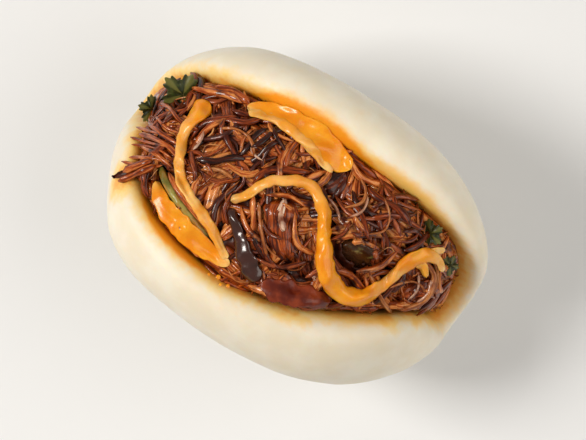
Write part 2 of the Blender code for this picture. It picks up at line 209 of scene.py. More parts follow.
def add_tree(obj, tree, **values):
    """Puts the group on the object as a modifier, with its inputs set."""
    modifier = add_modifier(obj, "NODES", node_group=tree)
    for item in tree.interface.items_tree:
        if item.in_out == "INPUT" and item.name in values:
            modifier[item.identifier] = values[item.name]


# %% [markdown]
# ## Camera, floor and light
#
# The photograph looks straight down, with the bun's long axis turned 36 degrees clockwise, and a long lens
# keeps the lobes from leaning outwards. One big soft lamp stands at the upper left, a weaker one at the
# right, and a bright room lifts the shadows. The Standard view transform shows colours as they were picked.

# %% Camera
PICTURE_TURN = math.radians(36)
CAMERA_HEIGHT = 1.5
CAMERA_SHIFT = -0.0015  # puts the middle of the bun in the middle of the picture
VIEW_WIDTH = 0.153  # what the frame takes in at the rim of the bun
RIM_HEIGHT = 0.062
SENSOR = 36

scene = bpy.context.scene
scene.view_settings.view_transform = "Standard"
camera = add_object("camera", bpy.data.cameras.new("camera"))
camera.data.sensor_width = SENSOR
camera.data.lens = SENSOR * (CAMERA_HEIGHT - RIM_HEIGHT) / VIEW_WIDTH
camera.location = (0, CAMERA_SHIFT, CAMERA_HEIGHT)
camera.rotation_euler = (0, 0, PICTURE_TURN)
scene.camera = camera
print("camera lens", round(camera.data.lens), "mm")

# %% Light and floor
LAMP_WHITE = "FFFAF2"
ROOM_WHITE = "F8F2E6"
ROOM_STRENGTH = 0.33
FLOOR_SIZE = 1.5


def add_lamp(name, right, up, height, size, power):
    """A square soft lamp. Right and up are metres in the picture, as the camera sees them."""
    lamp = add_object(name, bpy.data.lights.new(name, "AREA"))
    lamp.data.size = size
    lamp.data.energy = power
    lamp.data.color = colour(LAMP_WHITE)[:3]
    lamp.location = Matrix.Rotation(PICTURE_TURN, 3, "Z") @ Vector((right, up, height))
    lamp.rotation_euler = (-lamp.location).to_track_quat("-Z", "Y").to_euler()


add_lamp("key lamp", -0.75, 0.1, 0.85, size=0.36, power=8.7)
add_lamp("fill lamp", 0.7, -0.1, 0.8, size=0.9, power=4.5)

room = bpy.data.worlds.new("white studio")
room.use_nodes = True
room.node_tree.nodes["Background"].inputs["Color"].default_value = colour(ROOM_WHITE)
room.node_tree.nodes["Background"].inputs["Strength"].default_value = ROOM_STRENGTH
scene.world = room

floor_bm = bmesh.new()
bmesh.ops.create_grid(floor_bm, x_segments=1, y_segments=1, size=FLOOR_SIZE)
floor = add_object("floor", mesh_from(floor_bm, "floor"))
floor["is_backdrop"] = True
print("lamps:", [lamp.name for lamp in bpy.data.lights])

# %% [markdown]
# ## Materials
#
# A finish is one Principled shader with a colour and a relief. Food is never one flat colour, so its colour
# is built in layers: dough, then oil, then sauce. A layer covers the last one where its pattern is high: soft
# spots, or a value stored on the mesh. The relief is a bump of the real depth.

# %% Material helpers
def new_material(name, **values):
    """A material and its node tree. Each value names a socket of the shader, with _ for a space."""
    made = bpy.data.materials.new(name)
    made.use_nodes = True
    for label, value in values.items():
        made.node_tree.nodes["Principled BSDF"].inputs[label.replace("_", " ")].default_value = value
    return made, made.node_tree


def spots(tree, apart, detail=2.0, rough=0.5):
    """A pattern of soft spots about this many millimetres apart, fixed to the piece's Object coordinates."""
    place = add_node(tree, "ShaderNodeTexCoord", output="Object")
    inputs = {"Vector": place, "Scale": 1 / (apart * MM), "Detail": detail, "Roughness": rough}
    return add_node(tree, "ShaderNodeTexNoise", inputs)


def layered(tree, base, *layers):
    """Colours over one another, each a hex code or a socket.

    A layer is (pattern, low, high, colour): it starts to cover at low and covers fully at high. The pattern
    is a socket, or the name of a value stored on the mesh.
    """
    for pattern, low, high, cover in layers:
        if isinstance(pattern, str):
            pattern = add_node(tree, "ShaderNodeAttribute", output="Fac", attribute_name=pattern)
        limits = {"Value": pattern, "From Min": low, "From Max": high}
        share = add_node(tree, "ShaderNodeMapRange", limits, interpolation_type="SMOOTHSTEP")
        under, over = [colour(end) if isinstance(end, str) else end for end in (base, cover)]
        base = add_node(tree, "ShaderNodeMix", {"Factor": share, "A": under, "B": over}, data_type="RGBA")
    return base


def surface(tree, base, height, depth, strength):
    """Gives the shader its colour, and a relief this many millimetres deep from a height pattern."""
    inputs = {"Height": height, "Distance": depth * MM, "Strength": strength}
    relief = add_node(tree, "ShaderNodeBump", inputs)
    shader = tree.nodes["Principled BSDF"]
    tree.links.new(base, shader.inputs["Base Color"])
    tree.links.new(relief, shader.inputs["Normal"])


# uncoated paper scatters light evenly, so all that shows on it is the bun's soft shadow
floor_finish, _ = new_material("matt white paper", Base_Color=colour("ECEEF2"), Roughness=0.9)
floor.data.materials.append(floor_finish)
print("floor:", floor_finish.name)

# %% [markdown]
# ## The dough
#
# The bun is wheat dough, rolled flat, oiled, folded and steamed: a soft skin without corners, slightly
# uneven. Subdivision rounds the solid's facets, a voxel remesh evens its faces and closes the seam where the
# lobes touch, and smoothing takes the last steps away. A Geometry Nodes group then adds the slow dimples of a
# hand-shaped bun and stores how far each point is from the meat, for the oil that soaks into the rim.

# %% Soft form of the dough
SKIN_FACE = 0.75 * MM
DIMPLE_DEPTH = 0.5 * MM
DIMPLE_SPACING = 17 * MM
FULLNESS = 0.35 * MM  # smoothing draws the form in by about this much, so it's pushed out again


def skin_tree():
    """Uneven skin, and the distance to another piece stored on it."""
    tree, given = new_tree("uneven skin", Near="Object", Depth=DIMPLE_DEPTH, Spacing=DIMPLE_SPACING)
    per_metre = add_node(tree, "ShaderNodeMath", {0: 1.0, 1: given["Spacing"]}, operation="DIVIDE")
    wave = add_node(tree, "ShaderNodeTexNoise", {"Scale": per_metre, "Detail": 1.5})
    centred = add_node(tree, "ShaderNodeMath", {0: wave, 1: 0.5}, operation="SUBTRACT")
    height = add_node(tree, "ShaderNodeMath", {0: centred, 1: given["Depth"]}, operation="MULTIPLY")
    normal = add_node(tree, "GeometryNodeInputNormal")
    push = add_node(tree, "ShaderNodeVectorMath", {0: normal, "Scale": height}, operation="SCALE")
    moved = add_node(tree, "GeometryNodeSetPosition", {"Geometry": given["Geometry"], "Offset": push})
    target = {"Object": given["Near"]}
    near = add_node(tree, "GeometryNodeObjectInfo", target, "Geometry", transform_space="RELATIVE")
    distance = add_node(tree, "GeometryNodeProximity", {"Geometry": near}, "Distance")
    kept = {"Geometry": moved, "Name": "from_meat", "Value": distance}
    stored = add_node(tree, "GeometryNodeStoreNamedAttribute", kept, domain="POINT")
    add_node(tree, "NodeGroupOutput", {"Geometry": stored})
    return tree


heap_form = merged_copy("brisket_heap")
dough_form = merged_copy("steamed_bun")
add_modifier(dough_form, "SUBSURF", levels=2, render_levels=2)
add_modifier(dough_form, "REMESH", mode="VOXEL", voxel_size=SKIN_FACE)
add_modifier(dough_form, "SMOOTH", factor=0.5, iterations=14)
add_modifier(dough_form, "DISPLACE", strength=FULLNESS, mid_level=0)
add_tree(dough_form, skin_tree(), Near=heap_form)
dough_mesh = applied(dough_form)
for vert in dough_mesh.vertices:
    vert.co.z = max(vert.co.z, 0)  # the foot stays flat
print("dough", len(dough_mesh.polygons), "faces")

# %% [markdown]
# Sauce has run over the rim in places and left a film with a soft edge, and oil has soaked in beside it. A
# film is a line of places with half its width, in millimetres, like the drizzles further down. Each point of
# the dough stores how deep it lies in a film, from 0 at the edge to 1 on the line.

# %% Films of sauce on the dough
FILMS = (
    ((-30, 15.5, 2), (-22, 19.6, 4.4), (-13, 21.2, 5.4), (-4, 21.2, 5.4), (4, 20.6, 4.2), (11, 20.2, 2.4)),
    ((-40, -12, 1.5), (-33, -19.4, 3), (-25, -23, 3.4), (-16, -24.2, 3.4), (-8, -23.6, 3), (-1, -22.6, 2)),
)
OIL = (
    ((4, 21, 3), (14, 22, 4.2), (24, 21.6, 4.6), (34, 18.4, 4.2), (41, 12, 3.2), (43.4, 4, 2.4), (42, -4, 2)),
    (
        (-44, 6, 2), (-46, -2, 3), (-43, -10, 5.2), (-37, -17, 4), (-26, -23.4, 3.4), (-10, -24.4, 3.2),
        (2, -23, 2.4),
    ),
    ((-34, 15, 3), (-20, 21, 5), (-8, 22.5, 6), (2, 22, 4.5)),
    ((14, -17.5, 2.5), (24, -13.5, 3), (34, -8.5, 3.5)),
)

# %% Lines as values on a mesh
def route(points, spacing):
    """Points about this far apart on a smooth curve through these. A third number, a width, goes along."""
    points = [Vector(point) for point in points]
    ends = [2 * points[0] - points[1], *points, 2 * points[-1] - points[-2]]
    smooth = []
    for before, start, end, after in zip(ends, ends[1:], ends[2:], ends[3:]):
        bend = 2 * before - 5 * start + 4 * end - after
        swing = 3 * start - before - 3 * end + after
        steps = max(1, round((end - start).xy.length / spacing))
        for t in (step / steps for step in range(steps)):
            smooth.append(0.5 * (2 * start + (end - before) * t + (bend * t * t + swing * t**3)))
    return [*smooth, points[-1]]


def depths_in(lines, places):
    """How deep each place lies in the nearest of these lines: 1 on the line, 0 at half its width."""
    deepest = np.zeros(len(places))
    for line in lines:
        for x, y, half in route(line, 1.0):
            reach = np.hypot(places[:, 0] - x, places[:, 1] - y)
            deepest = np.maximum(deepest, 1 - reach / half)
    return deepest


def places_of(mesh):
    """Where the corners of the mesh are, in millimetres."""
    return np.array([vert.co for vert in mesh.vertices]) / MM


def keep_value(mesh, name, values):
    """Stores one number for each corner of the mesh."""
    mesh.attributes.new(name, "FLOAT", "POINT").data.foreach_set("value", values)


FILM_FOOT = 24  # nothing runs further down than this
FILM_FADE = 8  # and it fades over this height
places = places_of(dough_mesh)
upper = np.clip((places[:, 2] - FILM_FOOT) / FILM_FADE, 0, 1)
for name, lines in (("film", FILMS), ("oil", OIL)):
    keep_value(dough_mesh, name, depths_in(lines, places) * upper)
    print(len(lines), "lines of", name)

# %% [markdown]
# Steamed dough is white because light goes a few millimetres into it and comes back. Subsurface scattering
# gives that, more for red than for blue, which also warms the shadows. Near the meat the rim has soaked up
# orange chilli oil, out to an uneven edge, and the films lie on top.

# %% Finish of the dough
dough_finish, tree = new_material(
    "steamed wheat dough", Roughness=0.46, Specular_IOR_Level=0.42, IOR=1.4, Subsurface_Weight=0.55,
    Subsurface_Scale=2.6 * MM, Subsurface_Radius=(1.0, 0.72, 0.42), Coat_Weight=0.06, Coat_Roughness=0.35,
)


def uneven_edge(name, height, apart):
    """A stored value with fine spots added, so that a stain ends in an uneven line."""
    value = add_node(tree, "ShaderNodeAttribute", output="Fac", attribute_name=name)
    fine = spots(tree, apart, detail=4, rough=0.6)
    centred = add_node(tree, "ShaderNodeMath", {0: fine, 1: 0.5}, operation="SUBTRACT")
    return add_node(tree, "ShaderNodeMath", {0: centred, 1: height, 2: value}, operation="MULTIPLY_ADD")


reach = uneven_edge("from_meat", 5.5 * MM, 3.2)
oil = uneven_edge("oil", 0.6, 4)
film = uneven_edge("film", 0.5, 3)
dough_colour = layered(
    tree, "ECE2CD",
    (spots(tree, 9, detail=3), 0.35, 0.7, "F1EADA"),  # where the flour is paler
    (reach, 6.5 * MM, 2.5 * MM, "F9D488"),  # a yellow edge to the oil
    (oil, 0, 0.75, "F8C468"),
    (reach, 3 * MM, 0.5 * MM, "F6AE48"),  # soaked through
    (film, 0.12, 0.5, "F29A1C"),
)
pores = spots(tree, 0.9, detail=3, rough=0.65)  # real pores are finer and wouldn't show
surface(tree, dough_colour, pores, 0.1, 0.55)
dough = add_piece("steamed_dough", dough_mesh, dough_finish, "steamed_dough", "steamed_bun")

# %% [markdown]
# ## The heap of brisket
#
# Pulled brisket is muscle pulled apart along its fibres, then stirred into dark gravy. One lump would never
# look loose, and strands alone would leave holes. So a core carries them: the solid of the heap, remeshed,
# drawn in and made rough, which shows only in the gaps. Its near-black colour is soaked meat and also paints
# the shade in those gaps. From here on, the tables are in millimetres.

# %% Core of the heap
CORE_FACE = 0.9 * MM
CORE_INSET = 0.5 * MM
CORE_DROP = 2.4 * MM  # the top is lowered by this, so that the strands on it end up at the solid's height

add_modifier(heap_form, "REMESH", mode="VOXEL", voxel_size=CORE_FACE)
add_modifier(heap_form, "SMOOTH", factor=0.5, iterations=5)
add_modifier(heap_form, "DISPLACE", strength=-CORE_INSET, mid_level=0)
add_tree(heap_form, skin_tree(), Depth=1.2 * MM, Spacing=3 * MM)
core_mesh = applied(heap_form)
for vert, normal in zip(core_mesh.vertices, [vert.normal.copy() for vert in core_mesh.vertices]):
    vert.co.z -= CORE_DROP * max(normal.z, 0)

core_finish, tree = new_material(  # soaked and wet; near black, also as painted shade in the gaps
    "gravy-soaked beef core", Roughness=0.34, IOR=1.4, Specular_IOR_Level=0.4, Coat_Weight=0.1,
    Coat_Roughness=0.2,
)
core_colour_and_gap_shade = layered(tree, "260B05", (spots(tree, 2.6, detail=4), 0.35, 0.7, "5A2410"))
surface(tree, core_colour_and_gap_shade, spots(tree, 1.1, detail=3), 0.3, 0.8)
core = add_piece("brisket_core", core_mesh, core_finish, "brisket", "brisket_heap")

# %% [markdown]
# Loose food comes to rest on what is already there. Instead of a slow physics run, `Ground` looks straight
# down on the pieces with rays and tells how high they reach. The same rays tell whether meat or dough is
# uppermost, and so where the mouth ends.

# %% What lies under a place
def around(x, y, reach):
    """This place and, unless the reach is 0, the four places that far from it."""
    steps = ((0, 0), (1, 0), (0, 1), (-1, 0), (0, -1)) if reach else ((0, 0),)
    return [(x + across * reach, y + along * reach) for across, along in steps]


class Ground:
    """The pieces that something may come to rest on, seen from straight above."""

    def __init__(self, *pieces):
        self.trees = []
        self.add(*pieces)

    def add(self, *pieces):
        for piece in pieces:
            corners = [vert.co for vert in piece.data.vertices]
            faces = [tuple(face.vertices) for face in piece.data.polygons]
            self.trees.append(BVHTree.FromPolygons(corners, faces))

    def height(self, x, y):
        """The highest point at x and y, all in millimetres, or 0 where there is none."""
        above = Vector((x * MM, y * MM, 1))
        hits = [tree.ray_cast(above, Vector((0, 0, -1)))[0] for tree in self.trees]
        return max([hit.z / MM for hit in hits if hit], default=0)

    def rest(self, x, y, reach):
        """The highest point at this place and at four places around it."""
        return max(self.height(*place) for place in around(x, y, reach))


ground, core_ground, dough_ground = Ground(core, dough), Ground(core), Ground(dough)


def in_mouth(x, y, room=0.0):
    """Whether meat, not dough, is uppermost here and this far off on four sides."""
    return all(core_ground.height(*place) > dough_ground.height(*place) for place in around(x, y, room))


# %% The edge of the mouth
MIDDLE = Vector((-2.2, -1))  # of the mouth, seen from above
MOUTH_REACH = Vector((47, 23))  # half its length and about half its width
EDGE_POINTS = 150
EDGE_FROM, EDGE_TO, EDGE_STEP = 0.6, 1.2, 0.01  # shares of the reach between which the edge is looked for


def mouth_edge():
    """Places all round where the dough comes above the meat."""
    edge = []
    for number in range(EDGE_POINTS):
        angle = number / EDGE_POINTS * math.tau
        way = Vector((math.cos(angle) * MOUTH_REACH.x, math.sin(angle) * MOUTH_REACH.y))
        share = EDGE_FROM
        while in_mouth(*(MIDDLE + way * share)) and share < EDGE_TO:
            share += EDGE_STEP
        edge.append(MIDDLE + way * share)
    return edge


EDGE = mouth_edge()
left, right = [round(pick(place.x for place in EDGE)) for pick in (min, max)]
print("mouth from x", left, "to", right, "mm")

# %% [markdown]
# ## Cucumber
#
# A slice has dark green skin round pale flesh, wet from the cut, with sauce run over it in patches. The solid
# has the right bend, so a copy is rounded by subdivision, and each point stores how far out it lies, from 0
# in the middle to 1 at the skin.

# %% Cucumber slices
def cucumber_material(name, film, cover):
    """Cucumber with a film of sauce on it, which shows where its spots pass the cover."""
    made, tree = new_material(
        name, Roughness=0.24, IOR=1.36, Subsurface_Weight=0.3, Subsurface_Scale=2 * MM,
        Subsurface_Radius=(0.7, 1.0, 0.4), Coat_Weight=0.15, Coat_Roughness=0.12,
    )
    patches = spots(tree, 3.5, detail=4)
    base = layered(
        tree, "C8B268", ("outward", 0.35, 0.9, "9C9248"), ("outward", 0.9, 0.95, "6A6428"),
        (patches, cover, cover + 0.25, film),
    )
    surface(tree, base, spots(tree, 0.8), 0.08, 0.6)
    return made


def add_slice(node, finish):
    form = merged_copy(node)
    add_modifier(form, "SUBSURF", levels=2, render_levels=2)
    mesh = applied(form)
    places = places_of(mesh)
    reach = np.linalg.norm(places - places.mean(axis=0), axis=1)
    keep_value(mesh, "outward", reach / reach.max())
    return add_piece(node.replace("cucumber", "fresh_cucumber"), mesh, finish, "cucumber", node)


slices = [
    add_slice("cucumber_slice_front", cucumber_material("oiled cucumber", "A8742C", 0.4)),
    add_slice("cucumber_piece_middle", cucumber_material("cucumber under gravy", "3A1E0C", 0.18)),
]
slice_ground = Ground(*slices)
ground.add(*slices)

# %% Where meat may lie
SLICE_LAP = 0.9  # how far meat may lie over the edge of a slice


def on_slice(x, y, lap=SLICE_LAP):
    """Whether this place is on a slice, and further from the slice's outline than the lap."""
    return all(slice_ground.height(*place) > 0 for place in around(x, y, lap))


def free(x, y, room=0.0):
    """Whether meat may lie here: in the mouth, and not over a slice that shows."""
    return in_mouth(x, y, room) and not on_slice(x, y)


def within(circles, x, y):
    """Whether this place is in one of these circles, each x, y and radius."""
    return any(math.hypot(x - middle_x, y - middle_y) < radius for middle_x, middle_y, radius in circles)


print("middle of the mouth is free:", free(*MIDDLE))

# %% [markdown]
# Cooked beef is brown where it is dry and nearly black where gravy fills its grooves. The fibres follow the
# strand's own UV map, in millimetres: U goes round and V runs along. Each corner also carries a tone, which
# differs from strand to strand and is lowered underneath as painted shade.

# %% Finishes of the meat
ACROSS = 1.8  # fibres to the millimetre across a strand: real ones are finer and wouldn't show
ALONG = 0.13  # changes of tone to the millimetre along it
GRAIN = 0.9  # how much the fibres add to the tone


def meat_material(name, dark, middle, light, shine, wet):
    """Beef in three tones: gravy and painted shade underneath, the meat itself, and the fibres that stand
    out.
    """
    made, tree = new_material(
        name, Roughness=shine, IOR=1.4, Specular_IOR_Level=0.2, Coat_Weight=wet, Coat_Roughness=0.09,
        Subsurface_Weight=0.12, Subsurface_Scale=1 * MM, Subsurface_Radius=(1.0, 0.35, 0.15),
    )
    along = add_node(tree, "ShaderNodeUVMap", uv_map="UVMap")
    stretch = add_node(tree, "ShaderNodeMapping", {"Vector": along, "Scale": (ACROSS, ALONG, 1)})
    inputs = {"Vector": stretch, "Scale": 1.0, "Detail": 4, "Roughness": 0.7}
    fibres = add_node(tree, "ShaderNodeTexNoise", inputs)
    inputs = {"Value": fibres, "From Min": 0.36, "From Max": 0.64}
    grain = add_node(tree, "ShaderNodeMapRange", inputs, interpolation_type="SMOOTHSTEP")
    # the tone carries the painted shade under each strand
    tone = add_node(tree, "ShaderNodeAttribute", output="Fac", attribute_name="tone")
    lit = add_node(tree, "ShaderNodeMath", {0: grain, 1: GRAIN, 2: tone}, operation="MULTIPLY_ADD")
    soaked = spots(tree, 4.5, detail=3)
    base = layered(tree, dark, (lit, 0.12, 1.25, middle), (lit, 0.95, 1.6, light), (soaked, 0.52, 0.72, dark))
    surface(tree, base, fibres, 0.2, 0.8)
    return made


meat_finish = meat_material("slow-cooked beef in gravy", "3A0901", "A8460E", "E0904C", 0.34, 0.5)
# near-black beef: soaked in gravy, and painted shade where it fills deep gaps
dark_meat_and_shade_finish = meat_material("gravy-soaked beef and painted shade", "1E0401", "62220A", "A8542A", 0.28, 0.55)
sinew_finish = meat_material("pale beef sinew", "6E3010", "AE6430", "D89A60", 0.28, 0.35)
# pale pink fat, whose colour on the middle lump also paints a highlight
fat_and_highlight_finish = meat_material("glistening beef fat", "7A4028", "BE8668", "E8C8B0", 0.3, 0.6)
print("finishes:", [finish.name for finish in (meat_finish, dark_meat_and_shade_finish, sinew_finish, fat_and_highlight_finish)])

# %% [markdown]
# ## Strands of meat
#
# One function makes every strand: a grooved tube along a path, uneven in width and frayed at its ends, whose
# rings turn slowly, as a torn muscle fibre does. `laid` drops a row of places onto what lies there and evens
# their heights, because meat bends over a bump and doesn't trace it.

# %% Strand maker
UNDERSIDE_SHADE = 0.55  # painted shade: how much lower the tone is under a strand than on top of it
TWIST = 1.2  # the most that the rings turn from end to end, in radians
GROOVE_DEPTH = 0.16  # as a share of the radius
CHUNK_GROOVES = (0, 11, 0.07)  # twist, number and depth of the grooves on a chunk
TIP = 0.05  # what is left at the tip of a strand's section
WAVER = 0.5  # how much the width wanders
ROUGH_SPACING = 2.5  # between the bumps of a chunk
UV_SHIFT = 50  # strands of different tones take their fibres from different places of the pattern


def add_strand(bm, path, radius, tone, draw, sides=8, flat=0.7, blunt=3, rough=0.0):
    """Adds a grooved tube along the path, in millimetres. A high blunt keeps it wide up to its ends.

    Rough makes its surface uneven, its grooves many and its ends torn.
    """
    uv = bm.loops.layers.uv.get("UVMap") or bm.loops.layers.uv.new("UVMap")
    tones = bm.verts.layers.float.get("tone") or bm.verts.layers.float.new("tone")
    phase, twist, grooves = draw.uniform(0, math.tau), draw.uniform(-TWIST, TWIST), draw.choice((2, 3))
    depth = GROOVE_DEPTH
    if rough:
        twist, grooves, depth = CHUNK_GROOVES
    last = len(path) - 1
    rings, travelled = [], [0.0]
    for index, point in enumerate(path):
        ahead = (path[min(index + 1, last)] - path[max(index - 1, 0)]).normalized()
        side = ahead.cross(Vector((0, 0, 1))).normalized()
        up = side.cross(ahead)
        share = index / last
        width = radius * max(1 - abs(2 * share - 1) ** blunt, TIP) ** 0.5
        width *= 1 + WAVER * noise.noise(Vector((share * 3, phase, 0)))
        ring = []
        for corner in range(sides):
            angle = corner / sides * math.tau + twist * share
            outward = side * math.cos(angle) + up * math.sin(angle) * flat
            reach = width * (1 + depth * math.cos(grooves * angle + phase))
            reach *= 1 + rough * noise.noise((point + outward * radius) / ROUGH_SPACING)
            torn = rough * radius * noise.noise(Vector((math.cos(angle), math.sin(angle), phase)) * 4)
            ring.append(bm.verts.new((point + outward * reach + ahead * torn * (2 * share - 1) * 2) * MM))
            # the tone falls towards the underside: painted shade under the strand
            ring[-1][tones] = tone - UNDERSIDE_SHADE * (1 - math.sin(angle)) / 2
        rings.append(ring)
        travelled.append(travelled[-1] + (path[min(index + 1, last)] - point).length)
    for index in range(last):
        first, second = rings[index], rings[index + 1]
        for corner in range(sides):
            following = (corner + 1) % sides
            face = bm.faces.new((first[corner], first[following], second[following], second[corner]))
            for loop, (step, turn) in zip(face.loops, ((0, 0), (0, 1), (1, 1), (1, 0))):
                girth = (corner + turn) / sides * math.tau * radius
                loop[uv].uv = (girth, travelled[index + step] + tone * UV_SHIFT)
    bm.faces.new(reversed(rings[0]))
    bm.faces.new(rings[-1])


# %% Laying a strand down
def evened(path, times=3):
    """The path with its corners rounded off."""
    for _ in range(times):
        inner = [(before + 2 * here + after) / 4 for before, here, after in zip(path, path[1:], path[2:])]
        path = [path[0], *inner, path[-1]]
    return path


def laid(places, lifts, reach=0.0):
    """These places on whatever lies there and this far round them, raised by one lift or by one each."""
    lifts = lifts if isinstance(lifts, list) else [lifts] * len(places)
    return evened([Vector((*place, ground.rest(*place, reach) + lift)) for place, lift in zip(places, lifts)])


def evenly(steps):
    """Numbers from -1 to 1 in this many even steps."""
    return [step / steps * 2 - 1 for step in range(steps + 1)]


# %% [markdown]
# A lump that wasn't quite pulled apart is a bundle of strands side by side, bowed a little, which stop where
# the dough begins. Bundles lie on a loose grid over the mouth, headed by a slow noise, so that neighbours run
# much the same way, and then where the solid has its own lumps.

# %% Bundles
STRANDS_APART = 0.85
STRAND_STEPS = 12
STRAND_RADII = (0.7, 1.1)
LENGTH_SHARES = (0.75, 1.1)  # a strand's length beside that of its bundle
BOW = 0.9  # how far a strand may bend sideways
FAN = 0.06  # how far it may splay, as a share of its length
DOUGH_ROOM = 0.4  # how far from the dough it stops
BEDDING = 0.3  # how far its middle is raised, which leaves its underside in what it lies on


def trimmed(places):
    """The stretch of these places, on both sides of their middle, that stays in the mouth."""
    first = last = len(places) // 2
    while first > 0 and free(*places[first - 1], DOUGH_ROOM):
        first -= 1
    while last < len(places) - 1 and free(*places[last + 1], DOUGH_ROOM):
        last += 1
    return places[first : last + 1]


def add_bundle(bm, bundle, draw, rise=1.0):
    """A bundle of strands: x, y, length, width and heading in degrees. It is arched by the rise."""
    x, y, length, width, heading = bundle
    turn = Matrix.Rotation(math.radians(heading), 2)
    count = max(2, round(width / STRANDS_APART))
    shade = 0.15 + draw.random() * 0.6  # the strands of a bundle are of much the same tone
    for number in range(count):
        share = (number + 0.5) / count * 2 - 1
        half = length / 2 * math.sqrt(1 - share * share * 0.8) * draw.uniform(*LENGTH_SHARES)
        bow, fan = draw.uniform(-BOW, BOW), draw.uniform(-FAN, FAN)
        places = []
        for along in evenly(STRAND_STEPS):
            across = share * width / 2 + bow * along * along + fan * along * half
            places.append(Vector((x, y)) + turn @ Vector((along * half, across)))
        places = trimmed(places)
        if len(places) < STRAND_STEPS // 2:
            continue
        crown = rise * (1 - share * share)
        arch = [crown * (1 - along * along) for along in evenly(len(places) - 1)]
        path = laid(places, [BEDDING + height + draw.uniform(0, BEDDING) for height in arch])
        add_strand(bm, path, draw.uniform(*STRAND_RADII), shade + draw.random() * 0.5, draw)


# %% Lumps and pulled pieces
LUMPS = (  # x, y, length, width and heading
    (4.6, -1, 18, 4, -48), (-6, -10, 14, 3, -52), (-15.5, 10, 17, 10, 8), (19, 14, 20, 11, -5),
    (37, 5, 14, 10, 65), (-24.5, -2, 15, 11, 60), (14, 6, 12, 8, 40), (-39, -1, 11, 7, -20),
)
# dark meat soaked in gravy; those at (3, 13) and (-24, 7) lie in deep gaps and paint the shade there
GRAVY_AND_SHADE_LUMPS = ((36.5, 0.5, 12, 8, 20), (3, 13, 8, 6, 70), (-24, 7, 9, 4, 30), (23, 3, 9, 5, -40))
GRID_STEP = 6.2
GRID_STRAY = 2  # how far a bundle may lie from its place on the grid
GRID_ROOM = 0.8
HEADING_SPACING = 16
MAIN_HEADING = 30
HEADING_SWING = 150  # degrees that the slow noise may turn a bundle
HEADING_STRAY = 30
PULLED_LENGTHS, PULLED_WIDTHS = (11, 21), (2.2, 5)
CLEAR_OF = ((10, -17, 5), (-1, -5, 5))  # circles where the gravy shows, and the biggest lump
DARK_SHARE = 0.35  # of the bundles, soaked in gravy


def pulled_pieces(draw):
    """Bundles on a loose grid over the mouth, headed much as their neighbours are."""
    for row in range(-5, 5):
        for column in range(-8, 8):
            stray = Vector((draw.uniform(-GRID_STRAY, GRID_STRAY), draw.uniform(-GRID_STRAY, GRID_STRAY)))
            place = Vector((column, row)) * GRID_STEP + stray
            if within(CLEAR_OF, *place) or not free(*place, GRID_ROOM):
                continue
            swing = HEADING_SWING * noise.noise(Vector((*place, 7)) / HEADING_SPACING)
            heading = MAIN_HEADING + swing + draw.uniform(-HEADING_STRAY, HEADING_STRAY)
            yield *place, draw.uniform(*PULLED_LENGTHS), draw.uniform(*PULLED_WIDTHS), heading


draw = random.Random(5)
bm, dark_bm = bmesh.new(), bmesh.new()
for piece in pulled_pieces(draw):
    add_bundle(dark_bm if draw.random() < DARK_SHARE else bm, piece, draw)
for lump in LUMPS:
    add_bundle(bm, lump, draw, rise=1.2)
for lump in GRAVY_AND_SHADE_LUMPS:
    add_bundle(dark_bm, lump, draw)
ground.add(
    add_piece("brisket_lumps", bm, meat_finish, "brisket"),
    add_piece("gravy_dark_lumps", dark_bm, dark_meat_and_shade_finish, "brisket"),
)

# %% [markdown]
# Some beef stayed whole: the big lump in the middle with its seam of pale fat, which also paints the
# highlight there, the sticky dark one in front, and a few small ones that peep out, whose near-black paints
# the shade in deep gaps. A chunk is one thick strand with many shallow grooves, half sunk into the rest, and
# shreds keep off the big ones.

# %% Chunks
# x, y and reach of circles round the chunks that aren't covered
BARE = ((-2.4, -3.4, 3.6), (10, -17.2, 5), (36.6, 2.2, 4), (4.5, 13.4, 3.6))
CHUNKS = (  # x, y, length, width, heading, tone, lift
    (-1, -5.2, 14, 8, -50, 0, 0.3), (36.6, 2.2, 10, 7, 62, -0.1, 0), (-17, 11, 8, 4, 10, 0.4, -0.4),
    (19, 15, 7, 3.6, -10, 0.4, -0.4), (-27.5, -3, 7, 3.6, 60, 0.4, -0.4), (-39, -1.5, 6, 3.6, -30, 0.5, -0.4),
    (25, 8, 6, 3.4, 80, 0.2, -0.4),
)
# dark meat soaked in gravy; the small ones lie in deep gaps and shaded hollows, and paint the shade there
GRAVY_AND_SHADE_CHUNKS = (
    (10.6, -16.6, 17, 7.4, 16, 0.7, 0.8), (3, 13, 7, 5, 70, 0, -0.3), (31.4, 1.2, 6, 4, 75, 0, -0.3),
    (-25.5, 7.2, 7, 3.4, 30, 0, -0.3), (-16, -4, 5, 3, -20, 0, -0.3),
)
# pale fat; the first, on the middle lump, also paints the highlight there
FAT_AND_HIGHLIGHT_CHUNKS = ((-3.2, -2.2, 8, 2.1, -56, 0.5, 0.1), (14.4, -10.2, 5, 1.6, -12, 0.3, 0))
CHUNK_STEPS = 21
CHUNK_SIDES = 44
CHUNK_BOW = 0.8


def chunk_piece(name, sizes, finish):
    """One piece of several chunks, on which later ones may lie."""
    bm = bmesh.new()
    for x, y, length, width, heading, tone, lift in sizes:
        turn = Matrix.Rotation(math.radians(heading), 2)
        places = [Vector((along * length / 2, CHUNK_BOW * along * along)) for along in evenly(CHUNK_STEPS)]
        under = laid([Vector((x, y)) + turn @ place for place in places], 0)
        middle = sum(place.z for place in under) / len(under)
        path = [Vector((*place.xy, (place.z + middle) / 2 + lift)) for place in under]
        add_strand(bm, path, width / 2, tone + 0.3, draw, CHUNK_SIDES, flat=0.4, blunt=4, rough=0.3)
    ground.add(add_piece(name, bm, finish, "brisket"))


